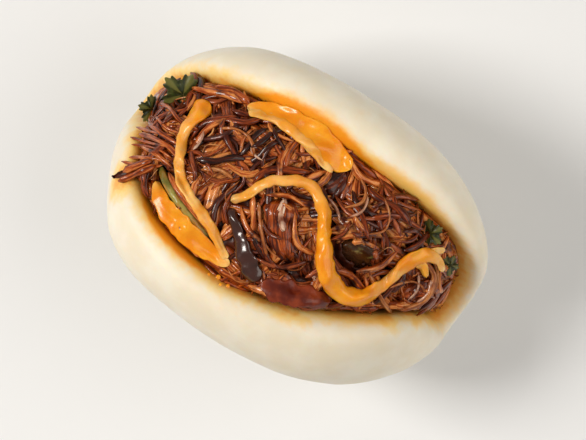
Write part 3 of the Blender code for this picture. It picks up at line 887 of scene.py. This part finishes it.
chunk_piece("gravy_dark_chunks", GRAVY_AND_SHADE_CHUNKS, dark_meat_and_shade_finish)
chunk_piece("brisket_chunks", CHUNKS, meat_finish)
chunk_piece("fat_chunk", FAT_AND_HIGHLIGHT_CHUNKS, fat_and_highlight_finish)

# %% [markdown]
# A real bun is stuffed until the meat presses against its lobes, so strands lie along the edge and fill the
# groove there. A second, deeper layer follows, and torn ends stick out over the dough.

# %% Strands along the edge
EDGE_LAYERS = (  # how many strands, their inset from and to, and their radius from and to
    (90, 0.3, 1.3, 1.0, 1.4), (70, -0.9, 1.8, 0.6, 1.0),
)
RAGGED_ENDS = 130
RAGGED_RADII = (0.4, 0.8)
RAGGED_STARTS, RAGGED_TIPS = (3.5, 7), (-1.6, 0.2)  # how far inside the edge they start and end


def lay_on_edge(bm, places, radius, tones):
    """A strand along these places, unless one of them is on a slice."""
    if not any(on_slice(*place, 0) for place in places):
        add_strand(bm, laid(places, 0.4 * radius), radius, 0.2 + draw.random() * tones, draw)


def edge_strands(bm, count, least, most, thinnest, thickest):
    """A layer of strands along the edge of the mouth."""
    for number in range(count):
        start = round(number * EDGE_POINTS / count)
        inset = draw.uniform(least, most)
        places = []
        for step in range(draw.randint(5, 9)):
            place = EDGE[(start + step) % EDGE_POINTS]
            places.append(place + (MIDDLE - place).normalized() * (inset + draw.uniform(0, 0.4)))
        lay_on_edge(bm, places, draw.uniform(thinnest, thickest), 0.8)


def ragged_ends(bm):
    """Strands that cross the edge of the mouth and end on the dough."""
    for _ in range(RAGGED_ENDS):
        place = EDGE[draw.randrange(EDGE_POINTS)]
        inward = (MIDDLE - place).normalized()
        drift = Vector((-inward.y, inward.x)) * draw.uniform(-0.8, 0.8)
        start, end = draw.uniform(*RAGGED_STARTS), draw.uniform(*RAGGED_TIPS)
        places = [place + (inward + drift) * (start + (end - start) * step / 7) for step in range(8)]
        lay_on_edge(bm, places, draw.uniform(*RAGGED_RADII), 0.7)


for number, layer in enumerate(EDGE_LAYERS, 1):
    bm = bmesh.new()
    edge_strands(bm, *layer)
    if number == len(EDGE_LAYERS):
        ragged_ends(bm)
    ground.add(add_piece(f"strands_along_the_edge_{number}", bm, meat_finish, "brisket"))

# %% [markdown]
# ## Scattered shreds
#
# Loose shreds and fibres lie on top of it all. This is what Geometry Nodes do best: points are spread over a
# surface, and each gets one of a few templates, turned and scaled at random. The templates come first, each
# with its own bend.

# %% Templates
SHRED = (13, 0.9, 0.2, 9, 7)  # length and radius in millimetres, bend, rings and corners of each ring
FIBRE = (7.5, 0.26, 0.3, 9, 5)  # a real fibre is thinner still, and wouldn't show
TEMPLATES = 10


def template(number, draw, length, radius, bend, rings, sides):
    """One shred along X, about its own middle, bowed sideways and a little up."""
    bm = bmesh.new()
    sway = draw.uniform(-bend, bend)
    arch = draw.uniform(-0.1, 0.4) * bend
    path = []
    for share in evenly(rings - 1):
        sideways = sway * (share * share - 0.4) + 0.25 * bend * math.sin(3 * share + number)
        path.append(Vector((share / 2, sideways, arch * (1 - share * share))) * length)
    add_strand(bm, path, radius, draw.random(), draw, sides)
    return bpy.data.objects.new(f"template_{number}", mesh_from(bm, f"template_{number}"))


def template_set(name, *sizes):
    draw = random.Random(len(name))
    group = bpy.data.collections.new(name)
    for number in range(TEMPLATES):
        group.objects.link(template(number, draw, *sizes))
    return group


shred_templates = template_set("shred templates", *SHRED)
fibre_templates = template_set("fibre templates", *FIBRE)

# %% [markdown]
# Each point is turned by the same slow noise as the bundles, strays from that a little, and gets a template.
# The last nodes make the instances real, because an export drops them, and give them their material.

# %% The scatter tree
SWING = 14.0  # how far the slow noise may turn a shred, in radians


def scatter_tree():
    """Spreads instances of a collection over a surface."""
    tree, given = new_tree(
        "scattered shreds", Templates="Collection", Finish="Material", PerSquareMetre=1e5, Seed="Int",
        Smallest=0.7, Largest=1.3, Lift=0.0, Spread=0.7, Lean=0.2,
    )
    spread = {"Mesh": given["Geometry"], "Density": given["PerSquareMetre"], "Seed": given["Seed"]}
    points = add_node(tree, "GeometryNodeDistributePointsOnFaces", spread)
    drift = add_node(tree, "ShaderNodeTexNoise", {"Scale": 1 / (HEADING_SPACING * MM), "Detail": 1.0})
    less = add_node(tree, "ShaderNodeMath", {0: given["Spread"], 1: -1.0}, operation="MULTIPLY")
    stray = add_node(tree, "FunctionNodeRandomValue", {"Min": less, "Max": given["Spread"], "Seed": 3})
    heading = add_node(tree, "ShaderNodeMath", {0: drift, 1: SWING, 2: stray}, operation="MULTIPLY_ADD")
    tip = add_node(tree, "FunctionNodeRandomValue", {"Min": -1.0, "Max": 1.0, "Seed": 4})
    tipped = add_node(tree, "ShaderNodeMath", {0: tip, 1: given["Lean"]}, operation="MULTIPLY")
    turn = add_node(tree, "ShaderNodeCombineXYZ", {"Y": tipped, "Z": heading})
    local = add_node(tree, "FunctionNodeEulerToRotation", {0: turn})
    lying = {"Rotation": points.node.outputs["Rotation"], "Rotate By": local}
    turned = add_node(tree, "FunctionNodeRotateRotation", lying, rotation_space="LOCAL")
    sizes = {"Min": given["Smallest"], "Max": given["Largest"], "Seed": 5}
    size = add_node(tree, "FunctionNodeRandomValue", sizes)
    shapes = {"Collection": given["Templates"], "Separate Children": True, "Reset Children": True}
    shape = add_node(tree, "GeometryNodeCollectionInfo", shapes)
    copies = {"Points": points, "Instance": shape, "Pick Instance": True, "Rotation": turned, "Scale": size}
    copies = add_node(tree, "GeometryNodeInstanceOnPoints", copies)
    up = add_node(tree, "ShaderNodeCombineXYZ", {"Z": given["Lift"]})
    lifted = add_node(tree, "GeometryNodeTranslateInstances", {"Instances": copies, "Translation": up})
    real = add_node(tree, "GeometryNodeRealizeInstances", {"Geometry": lifted})
    dressed = add_node(tree, "GeometryNodeSetMaterial", {"Geometry": real, "Material": given["Finish"]})
    add_node(tree, "NodeGroupOutput", {"Geometry": dressed})
    return tree


SCATTER = scatter_tree()
print("inputs:", [item.name for item in SCATTER.interface.items_tree if item.in_out == "INPUT"])

# %% [markdown]
# The points lie on a sheet draped over the heap, which isn't kept. On the heap itself, shreds would also hang
# from its sides and lie inside its gaps.

# %% The draped sheet
SHEET_STEP = 1.5  # millimetres between the sheet's rows
SHEET_COLUMNS = np.arange(-50, 46, SHEET_STEP)
SHEET_ROWS = np.arange(-27, 23, SHEET_STEP)


def neighbours(heights, axis):
    """A grid of heights three times: one step back along this axis, in place, and one step on."""
    padded = np.concatenate([heights.take([0], axis), heights, heights.take([-1], axis)], axis)
    return [padded.take(range(shift, heights.shape[axis] + shift), axis) for shift in range(3)]


def blurred(heights, times):
    """Smooths a grid of heights in both directions."""
    for axis in (0, 1) * times:
        before, here, after = neighbours(heights, axis)
        heights = (before + 2 * here + after) / 4
    return heights


def draped(heights, times):
    """Heights of something thick that lies over these: it touches the highest and bridges the rest."""
    for axis in (0, 1):
        heights = np.maximum.reduce(neighbours(heights, axis))
    return blurred(heights, times)


def draped_sheet():
    """A sheet over the heap, with no faces where the dough is on top."""
    heights = blurred(np.array([[ground.height(x, y) for y in SHEET_ROWS] for x in SHEET_COLUMNS]), 2)
    bm = bmesh.new()
    grid = []
    for x, line in zip(SHEET_COLUMNS, heights):
        grid.append([bm.verts.new(Vector((x, y, height)) * MM) for y, height in zip(SHEET_ROWS, line)])
    for i, x in enumerate(SHEET_COLUMNS[:-1]):
        for j, y in enumerate(SHEET_ROWS[:-1]):
            if in_mouth(x + SHEET_STEP / 2, y + SHEET_STEP / 2, SHEET_STEP):
                bm.faces.new((grid[i][j], grid[i + 1][j], grid[i + 1][j + 1], grid[i][j + 1]))
    return mesh_from(bm, "draped sheet")


sheet = draped_sheet()
print("sheet:", len(sheet.polygons), "faces")

# %% Loose shreds
SPOILED = 0.15  # a shred goes when more than this share of its corners lies where it may not
SUNK = 0.2  # how far a shred may lie in the dough


def pruned(mesh, corners_each, unwanted):
    """The mesh without each shred that has too many corners where they may not be."""
    bad = np.array([unwanted(*place) for place in places_of(mesh)])
    shares = bad.reshape(-1, corners_each).mean(axis=1)
    bm = bmesh.new()
    bm.from_mesh(mesh)
    gone = [vert for vert in bm.verts if shares[vert.index // corners_each] > SPOILED]
    bmesh.ops.delete(bm, geom=gone, context="VERTS")
    return bm


def scattered(name, finish, sizes, unwanted, **values):
    """A piece of shreds scattered over the sheet, without those that lie where they may not."""
    carrier = add_object(name, sheet.copy())
    add_tree(carrier, SCATTER, Finish=finish, **values)
    rings, sides = sizes[-2:]
    return add_piece(name, pruned(applied(carrier), rings * sides, unwanted), finish, "brisket")


def in_the_way(x, y, z):
    """Whether this corner of a shred is in the dough or hides a slice or a bare chunk."""
    return dough_ground.height(x, y) > z - SUNK or on_slice(x, y, 0) or within(BARE, x, y)


shreds = scattered(
    "brisket_shreds", meat_finish, SHRED, in_the_way, Templates=shred_templates, PerSquareMetre=5e4, Seed=2,
    Smallest=0.6, Largest=1.2, Lift=0.2 * MM, Spread=0.9, Lean=0.12,
)
dark_shreds = scattered(
    "gravy_dark_shreds", dark_meat_and_shade_finish, SHRED, in_the_way, Templates=shred_templates, PerSquareMetre=2.5e4,
    Seed=7, Smallest=0.5, Largest=1.1, Lift=0.1 * MM, Spread=1.3, Lean=0.12,
)
ground.add(shreds, dark_shreds)

# %% [markdown]
# ## Strands that stand out
#
# Some strands are known one by one: the stub over the front rim, the pale loops at the right end and the
# wisps at the left. Each is a short list of places with its radius last, laid on whatever it crosses.

# %% Single strands
STUBS = (
    ((-37.4, -11), (-39.2, -14), (-41.2, -17.3), (-43, -20.2), 1.0),
    ((-39, -10.6), (-40.6, -13), (-42.1, -15.4), (-43.4, -17.5), 1.0),
    ((-28, 16), (-33, 15), (-38, 12.5), (-42, 11), 0.9),
    ((-37, 14.8), (-32, 16.8), (-27, 16.4), 1.0),
    ((-31, -6), (-37, -5), (-42, -5.5), (-46, -7), 0.8),
    ((-34, 3), (-39, 2), (-44, 3.5), (-46.5, 2.5), 0.7),
    ((-33, -9), (-39, -8.5), (-44, -9.5), 0.6),
    ((-34, -3), (-40, -3.5), (-46, -3), 0.6),
    ((-36, 0), (-41, -1.5), (-45.5, -0.5), 0.45),
    ((-35, -7), (-40, -7.4), (-46, -10.4), 0.4),
    ((-35, -8), (-40, -10.5), (-44.5, -13.5), 0.5),
    ((-37, -5), (-43, -7.5), (-47.5, -9), 0.5),
    ((-36, -10), (-39.5, -13), (-45.5, -15.5), 0.45),
    ((-38, -2), (-43.5, -4.5), (-48, -6), 0.55),
    ((-33.5, -10.6), (-29, -12.8), (-23, -14.7), (-17, -16.2), (-13, -18), 0.8),
)
PALE_LOOPS = (
    ((24, -1), (28, -3), (31.5, -5), (35.5, -6), 0.6),
    ((35, 10), (39, 8), (40.5, 2), (37, -4), 0.7),
    ((33, 12), (37.5, 11), (41, 6), (40, 0), 0.45),
    ((31, -1), (34, 3.5), (38, 4.5), (41, 1.5), 0.4),
    ((-10, -3), (-7, -6.4), (-4, -9.5), (0, -13), 0.5),
    ((-6.5, -6), (-4.6, -9), (-1, -11.4), (2.4, -11.6), 0.35),
    ((9, 9), (12, 12.5), (11, 16), (8, 17.5), 0.45),
    ((16, 17), (20, 14), (21, 10), (18, 7), 0.4),
    ((-30, 6), (-26, 9), (-21, 9), (-18, 6), 0.45),
    ((-27, -5), (-23, -2), (-19, -2), 0.5),
)
FAT_STREAKS = (
    ((12, 15), (13.4, 12.6), (13, 9.5), (11.5, 8), 0.4),
    ((4, 8.5), (7.5, 7.6), (10, 5.5), 0.4), ((-32.5, 3.6), (-31.4, 0.6), (-31.8, -2), 0.5),
    ((-20, 7.4), (-17.8, 6), (-15.4, 6.4), 0.4),
    ((38.6, 7), (40.2, 3.6), (39, 0), 0.5), ((35, 6.4), (37.4, 3), (36.8, -1), 0.4),
)


def strand_piece(name, strands, finish):
    """One piece of single strands, each laid along its own places."""
    bm = bmesh.new()
    for *points, radius in strands:
        places = [(x, y) for x, y, _ in route([(x, y, 0) for x, y in points], 1.0)]
        path = laid(places, 0.3 * radius, 1.2 * radius)
        add_strand(bm, path, radius, draw.uniform(0.4, 0.75), draw, blunt=9)
    return add_piece(name, bm, finish, "brisket")


ground.add(
    strand_piece("strands_over_the_rim", STUBS, meat_finish),
    strand_piece("pale_loops", PALE_LOOPS, sinew_finish),
    strand_piece("fat_streaks", FAT_STREAKS, fat_and_highlight_finish),
)

# %% [markdown]
# ## Coriander
#
# A coriander leaf is a soft fan of notched lobes, a quarter of a millimetre thick. Its outline follows a
# rule, one cosine for the lobes and a finer one for the teeth. So one function lays a square grid over a
# disc, pulls its edge in between the lobes, and closes a second sheet under it, where the solid's leaf is.

# %% Closed sheets
def closed_sheet(name, top, bottom):
    """A closed mesh of two grids of places with the same rows and columns, one over the other."""
    bm = bmesh.new()
    for places, upward in ((top, True), (bottom, False)):
        sheet = [[bm.verts.new(place) for place in row] for row in places]
        for row, following in zip(sheet, sheet[1:]):
            for corners in zip(row, row[1:], following[1:], following):
                bm.faces.new(corners if upward else corners[::-1])
    bmesh.ops.bridge_loops(bm, edges=[edge for edge in bm.edges if edge.is_boundary])
    bmesh.ops.recalc_face_normals(bm, faces=bm.faces)
    return mesh_from(bm, name)


# %% Coriander leaves
LEAVES = {  # radius, heading and lean in degrees
    "coriander_leaf_left": (6.2, 100, -30), "coriander_leaf_end": (3.7, 200, -20),
    "coriander_leaf_back": (3.6, 60, -30), "coriander_leaf_right": (2.8, 20, 25),
}
LEAF_GRID = 40
LEAF_THICK = 0.25 * MM
LEAF_RISE = 0.8 * MM  # a leaf lies on the shreds that cover the heap
LEAF_LOBES = 5
NOTCH = 0.38  # how far the edge comes in between two lobes, as a share of the radius
TOOTH = 0.07
RIPPLE, CUP = 0.45 * MM, 0.35 * MM  # how far a leaf waves, and how far its lobes bend up

leaf_finish, tree = new_material(  # thin and a little waxy: light shines through, and the veins are paler
    "coriander leaf", Roughness=0.42, IOR=1.4, Subsurface_Weight=0.25, Subsurface_Scale=0.5 * MM,
    Subsurface_Radius=(0.5, 1.0, 0.2), Coat_Weight=0.15, Coat_Roughness=0.2,
)
blade = (spots(tree, 2, detail=3), 0.35, 0.7, "3E4416")
vein = add_node(tree, "ShaderNodeAttribute", output="Fac", attribute_name="vein")
surface(tree, layered(tree, "1C2408", blade, (vein, 0.75, 1, "66642C")), vein, 0.15, 0.7)


def add_leaf(node, radius, heading, lean):
    low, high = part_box(node)
    turn = Matrix.Rotation(math.radians(heading), 4, "Z") @ Matrix.Rotation(math.radians(lean), 4, "Y")
    pose = Matrix.Translation((Vector(low) + Vector(high)) / 2 + Vector((0, 0, LEAF_RISE))) @ turn
    top, bottom, veins = [], [], []
    for u in evenly(LEAF_GRID):
        top.append([])
        bottom.append([])
        for v in evenly(LEAF_GRID):
            way = Vector((u * math.sqrt(1 - v * v / 2), v * math.sqrt(1 - u * u / 2)))
            angle = math.atan2(way.y, way.x)
            lobe = abs(math.cos(LEAF_LOBES / 2 * angle))
            tooth = TOOTH * math.cos(LEAF_LOBES * 4 * angle) * way.length
            flat = way * radius * MM * (1 - NOTCH * (1 - lobe) + tooth)
            ripple = RIPPLE * math.sin(4 * way.x) * math.cos(3 * way.y) + CUP * (lobe - 0.6) * way.length
            rib = 1 - 6 * abs(math.sin(9 * way.length + 3 * lobe))
            veins.append(max(lobe, rib) if way.length > 0.05 else 1)
            for sheet, side in ((top, 0.5), (bottom, -0.5)):
                sheet[-1].append(pose @ Vector((*flat, ripple + side * LEAF_THICK)))
    mesh = closed_sheet(node, top, bottom)
    keep_value(mesh, "vein", veins + veins)
    add_piece("fresh_" + node, mesh, leaf_finish, "coriander", node)


for node, sizes in LEAVES.items():
    add_leaf(node, *sizes)

# %% [markdown]
# ## Chilli mayonnaise and gravy
#
# Mayonnaise is thick enough to bridge the gaps between shreds, and its own surface is smooth. A tube along a
# curve would float or sink. So each line is a grid of columns across its route: the ground under it is
# measured and draped over, and a round bead is laid on that, down to the ground at both edges. A smear has a
# flatter bead. Each line is places with half its width last, and the drizzles follow the solid's values.

# %% Sauce maker
SAUCE_COLUMNS = 17
SAUCE_STEP = 0.45
SAUCE_FILM = 0.12  # thickness of a line at its very edge
SAUCE_DEPTH = 0.5  # how far a line reaches into what it lies on
SAUCE_REACH = 0.25  # how far round each place it feels for the highest point, so that no tip comes through
END_SHARE = 0.03  # keeps a line's rounded end open
EDGE_WAVES = 0.45  # waves of an uneven edge to the millimetre
THICK_LINE = 2.3  # half the width of a line that shows the sauce's full colour; thinner ones are paler


def sauce(name, line, fat, finish, slot, ragged=0.16, blur=5):
    """A bead of sauce along a line of (x, y, half width), fat times as high as it is half wide."""
    path = route(line, SAUCE_STEP)
    travelled = np.cumsum([0] + [(second - first).xy.length for first, second in zip(path, path[1:])])
    places = np.zeros((len(path), SAUCE_COLUMNS, 3))
    bead = np.zeros((len(path), SAUCE_COLUMNS))
    for index, (x, y, half) in enumerate(path):
        ahead = (path[min(index + 1, len(path) - 1)] - path[max(index - 1, 0)]).xy.normalized()
        to_end = min(travelled[index], travelled[-1] - travelled[index]) / half
        rounding = math.sqrt(max(1 - (1 - min(to_end, 1)) ** 2, END_SHARE))
        for column, share in enumerate(np.linspace(-1, 1, SAUCE_COLUMNS)):
            edge = noise.noise(Vector((x, y, 5 * math.copysign(1, share))) * EDGE_WAVES)
            out = share * half * rounding * (1 + ragged * 2 * edge)
            spot_x, spot_y = x - ahead.y * out, y + ahead.x * out
            places[index, column] = spot_x, spot_y, ground.rest(spot_x, spot_y, SAUCE_REACH)
            bead[index, column] = fat * half * rounding * math.sqrt(1 - share * share)
    over = blurred(np.maximum(draped(places[:, :, 2], blur), places[:, :, 2]), 2)
    top, bottom = places.copy(), places.copy()
    top[:, :, 2] = over + bead + SAUCE_FILM
    bottom[:, :, 2] = over - SAUCE_DEPTH
    mesh = closed_sheet(name, (top * MM).tolist(), (bottom * MM).tolist())
    halves = np.repeat([half for _, _, half in path], SAUCE_COLUMNS)
    thin = np.clip(1 - halves / THICK_LINE, 0, 1)
    keep_value(mesh, "thin", np.concatenate([thin, thin]))
    return add_piece(name, mesh, finish, slot)


# %% [markdown]
# Chilli mayonnaise is oil and egg with chilli: opaque orange, glossy, paler where it is thin. Gravy is a thin
# dark glaze. The charred edge of beef has drawn in its juice: nearly black, and the shiniest of all.

# %% Sauce finishes
mayonnaise_finish, tree = new_material(
    "chilli mayonnaise", Roughness=0.26, IOR=1.46, Specular_IOR_Level=0.4, Subsurface_Weight=0.4,
    Subsurface_Scale=1.2 * MM, Subsurface_Radius=(1.0, 0.5, 0.1), Coat_Weight=0.12, Coat_Roughness=0.12,
)
streaks = spots(tree, 5, detail=3)
full = layered(tree, "EC8C0A", (streaks, 0.35, 0.7, "F8A622"))
pale = layered(tree, "F0A83C", (streaks, 0.35, 0.7, "F8CC86"))
surface(tree, layered(tree, full, ("thin", 0.1, 0.6, pale)), spots(tree, 1.6), 0.12, 0.5)
MAYONNAISE = (mayonnaise_finish, "chilli_mayonnaise")

gravy_finish, tree = new_material(
    "thick brown gravy", Roughness=0.3, IOR=1.4, Specular_IOR_Level=0.3, Coat_Weight=0.3, Coat_Roughness=0.15
)
gravy_colour = layered(tree, "581A0E", (spots(tree, 4, detail=3), 0.35, 0.7, "8C3A1E"))
surface(tree, gravy_colour, spots(tree, 2.2, detail=3), 0.35, 0.7)

charred_finish, tree = new_material(
    "charred beef edge", Roughness=0.24, IOR=1.45, Coat_Weight=0.9, Coat_Roughness=0.16
)
charred_colour = layered(tree, "1C0805", (spots(tree, 3, detail=3), -0.25, 1.25, "4A1C10"))
surface(tree, charred_colour, spots(tree, 2.4, detail=3), 0.3, 0.6)
print("sauces:", mayonnaise_finish.name, "and", gravy_finish.name)

# %% Drizzles and smears
FIRST_DRIZZLE = (
    (-36, 10.6, 2.6), (-36.5, 6.5, 2.2), (-36.6, 1.5, 1.5), (-34.5, -4, 1.4), (-31, -9, 1.4),
    (-26, -12, 1.4), (-20, -14, 1.4), (-13.5, -17, 1.3), (-8, -20, 1.1),
)
SECOND_DRIZZLE = (
    (-16, -7, 1.1), (-13.5, -3, 1.3), (-11.5, 2, 1.4), (-8, 5.5, 1.5), (-3.5, 8, 1.6), (1.5, 7.5, 1.7),
    (6, 4, 1.9), (9.5, -1, 2.1), (13.5, -6, 2.4), (19.5, -9.6, 2.7), (25.5, -8, 2.4), (28.5, -3, 1.8),
    (30, 3, 1.6), (31.2, 7.5, 1.9), (33.6, 11.4, 1.9), (37.2, 12.2, 1.3), (40, 10.8, 0.8),
)
BACK_RIDGE = (
    (-26, 14.6, 1.1), (-20, 16.8, 1.3), (-13, 17.2, 1.4), (-6, 16.2, 1.3), (-1.5, 15, 1.0), (1, 14.6, 0.6),
)
FRONT_SMEAR = (
    (-35, -14.4, 1), (-31, -17.5, 2.2), (-25, -19.6, 2.8), (-16.5, -20.9, 2.7), (-9.5, -21.1, 1.7),
    (-6.5, -20.6, 1),
)
END_SMEARS = (
    ((32, 8.5, 1.2), (35, 8.6, 1.1), (37.2, 6.8, 0.7)), ((33, 11, 1.2), (34.8, 14, 1), (37, 15.6, 0.6)),
)
BACK_SMEAR = (
    (-27, 15.4, 1.2), (-21, 18.2, 2.5), (-14, 19.5, 3.1), (-7, 19.4, 3.7), (-1, 18.5, 3.6), (4.4, 18.2, 1.8),
)
GRAVY = ((3, -19.8, 1.6), (7, -18.8, 2.8), (12, -16.8, 3.2), (17, -14.6, 2.6), (20.4, -13, 1.4))
DARK_STRIP = ((-15, -8.5, 1.1), (-9, -13, 1.8), (-3, -17.2, 2.6), (2, -19.8, 1.9))

sauces = [
    sauce("gravy_in_front", GRAVY, 0.06, gravy_finish, "brisket", 0.2, 3),
    sauce("dark_strip", DARK_STRIP, 0.5, charred_finish, "brisket", 0.15, 10),
    sauce("smear_back", BACK_SMEAR, 0.04, *MAYONNAISE, 0.12, 8),
    sauce("ridge_back", BACK_RIDGE, 0.4, *MAYONNAISE),
    sauce("smear_front", FRONT_SMEAR, 0.08, *MAYONNAISE, 0.12, 6),
    sauce("drizzle_first", FIRST_DRIZZLE, 0.6, *MAYONNAISE),
    sauce("drizzle_second", SECOND_DRIZZLE, 0.65, *MAYONNAISE),
]
for number, line in enumerate(END_SMEARS, 1):
    sauces.append(sauce(f"smear_end_{number}", line, 0.4, *MAYONNAISE, 0.25))

# %% Drops
DROPS = ((-7, -25.2, 0.7), (-5.4, -26.4, 0.5), (-3.6, -25.6, 0.6), (-9.4, -26, 0.45))  # x, y and radius
DROP_SHAPE = Matrix.Diagonal((1, 1.3, 0.55, 1))  # run a little downhill, and flat

bm = bmesh.new()
for x, y, radius in DROPS:
    pose = Matrix.Translation(Vector((x, y, ground.height(x, y) + 0.1 * radius)) * MM) @ DROP_SHAPE
    bmesh.ops.create_icosphere(bm, subdivisions=3, radius=radius * MM, matrix=pose)
add_piece("drops_on_the_rim", bm, *MAYONNAISE)

# %% [markdown]
# The finest fibres come last, so that they lie close to the sauce, but none crosses it or hides the cucumber.

# %% Fine fibres
sauce_ground = Ground(*sauces)


def on_sauce_or_dough(x, y, z):
    return in_the_way(x, y, z) or sauce_ground.height(x, y) > 0


scattered(
    "brisket_fibres", sinew_finish, FIBRE, on_sauce_or_dough, Templates=fibre_templates, PerSquareMetre=2.2e4,
    Seed=11, Smallest=0.5, Largest=1.2, Lift=0.5 * MM, Spread=1.6, Lean=0.1,
)
for used in (*shred_templates.objects, *fibre_templates.objects):
    bpy.data.objects.remove(used)

# %% [markdown]
# ## The size
#
# The dressed bun should stay in the box of its solids. Both boxes are printed, in millimetres.

# %% Size and finish
scene_box = [list(corner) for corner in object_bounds()]
for name, box in (("solids", cad_box), ("dressed", scene_box)):
    print(name, [round((high - low) / MM, 1) for low, high in zip(*box)], "mm")
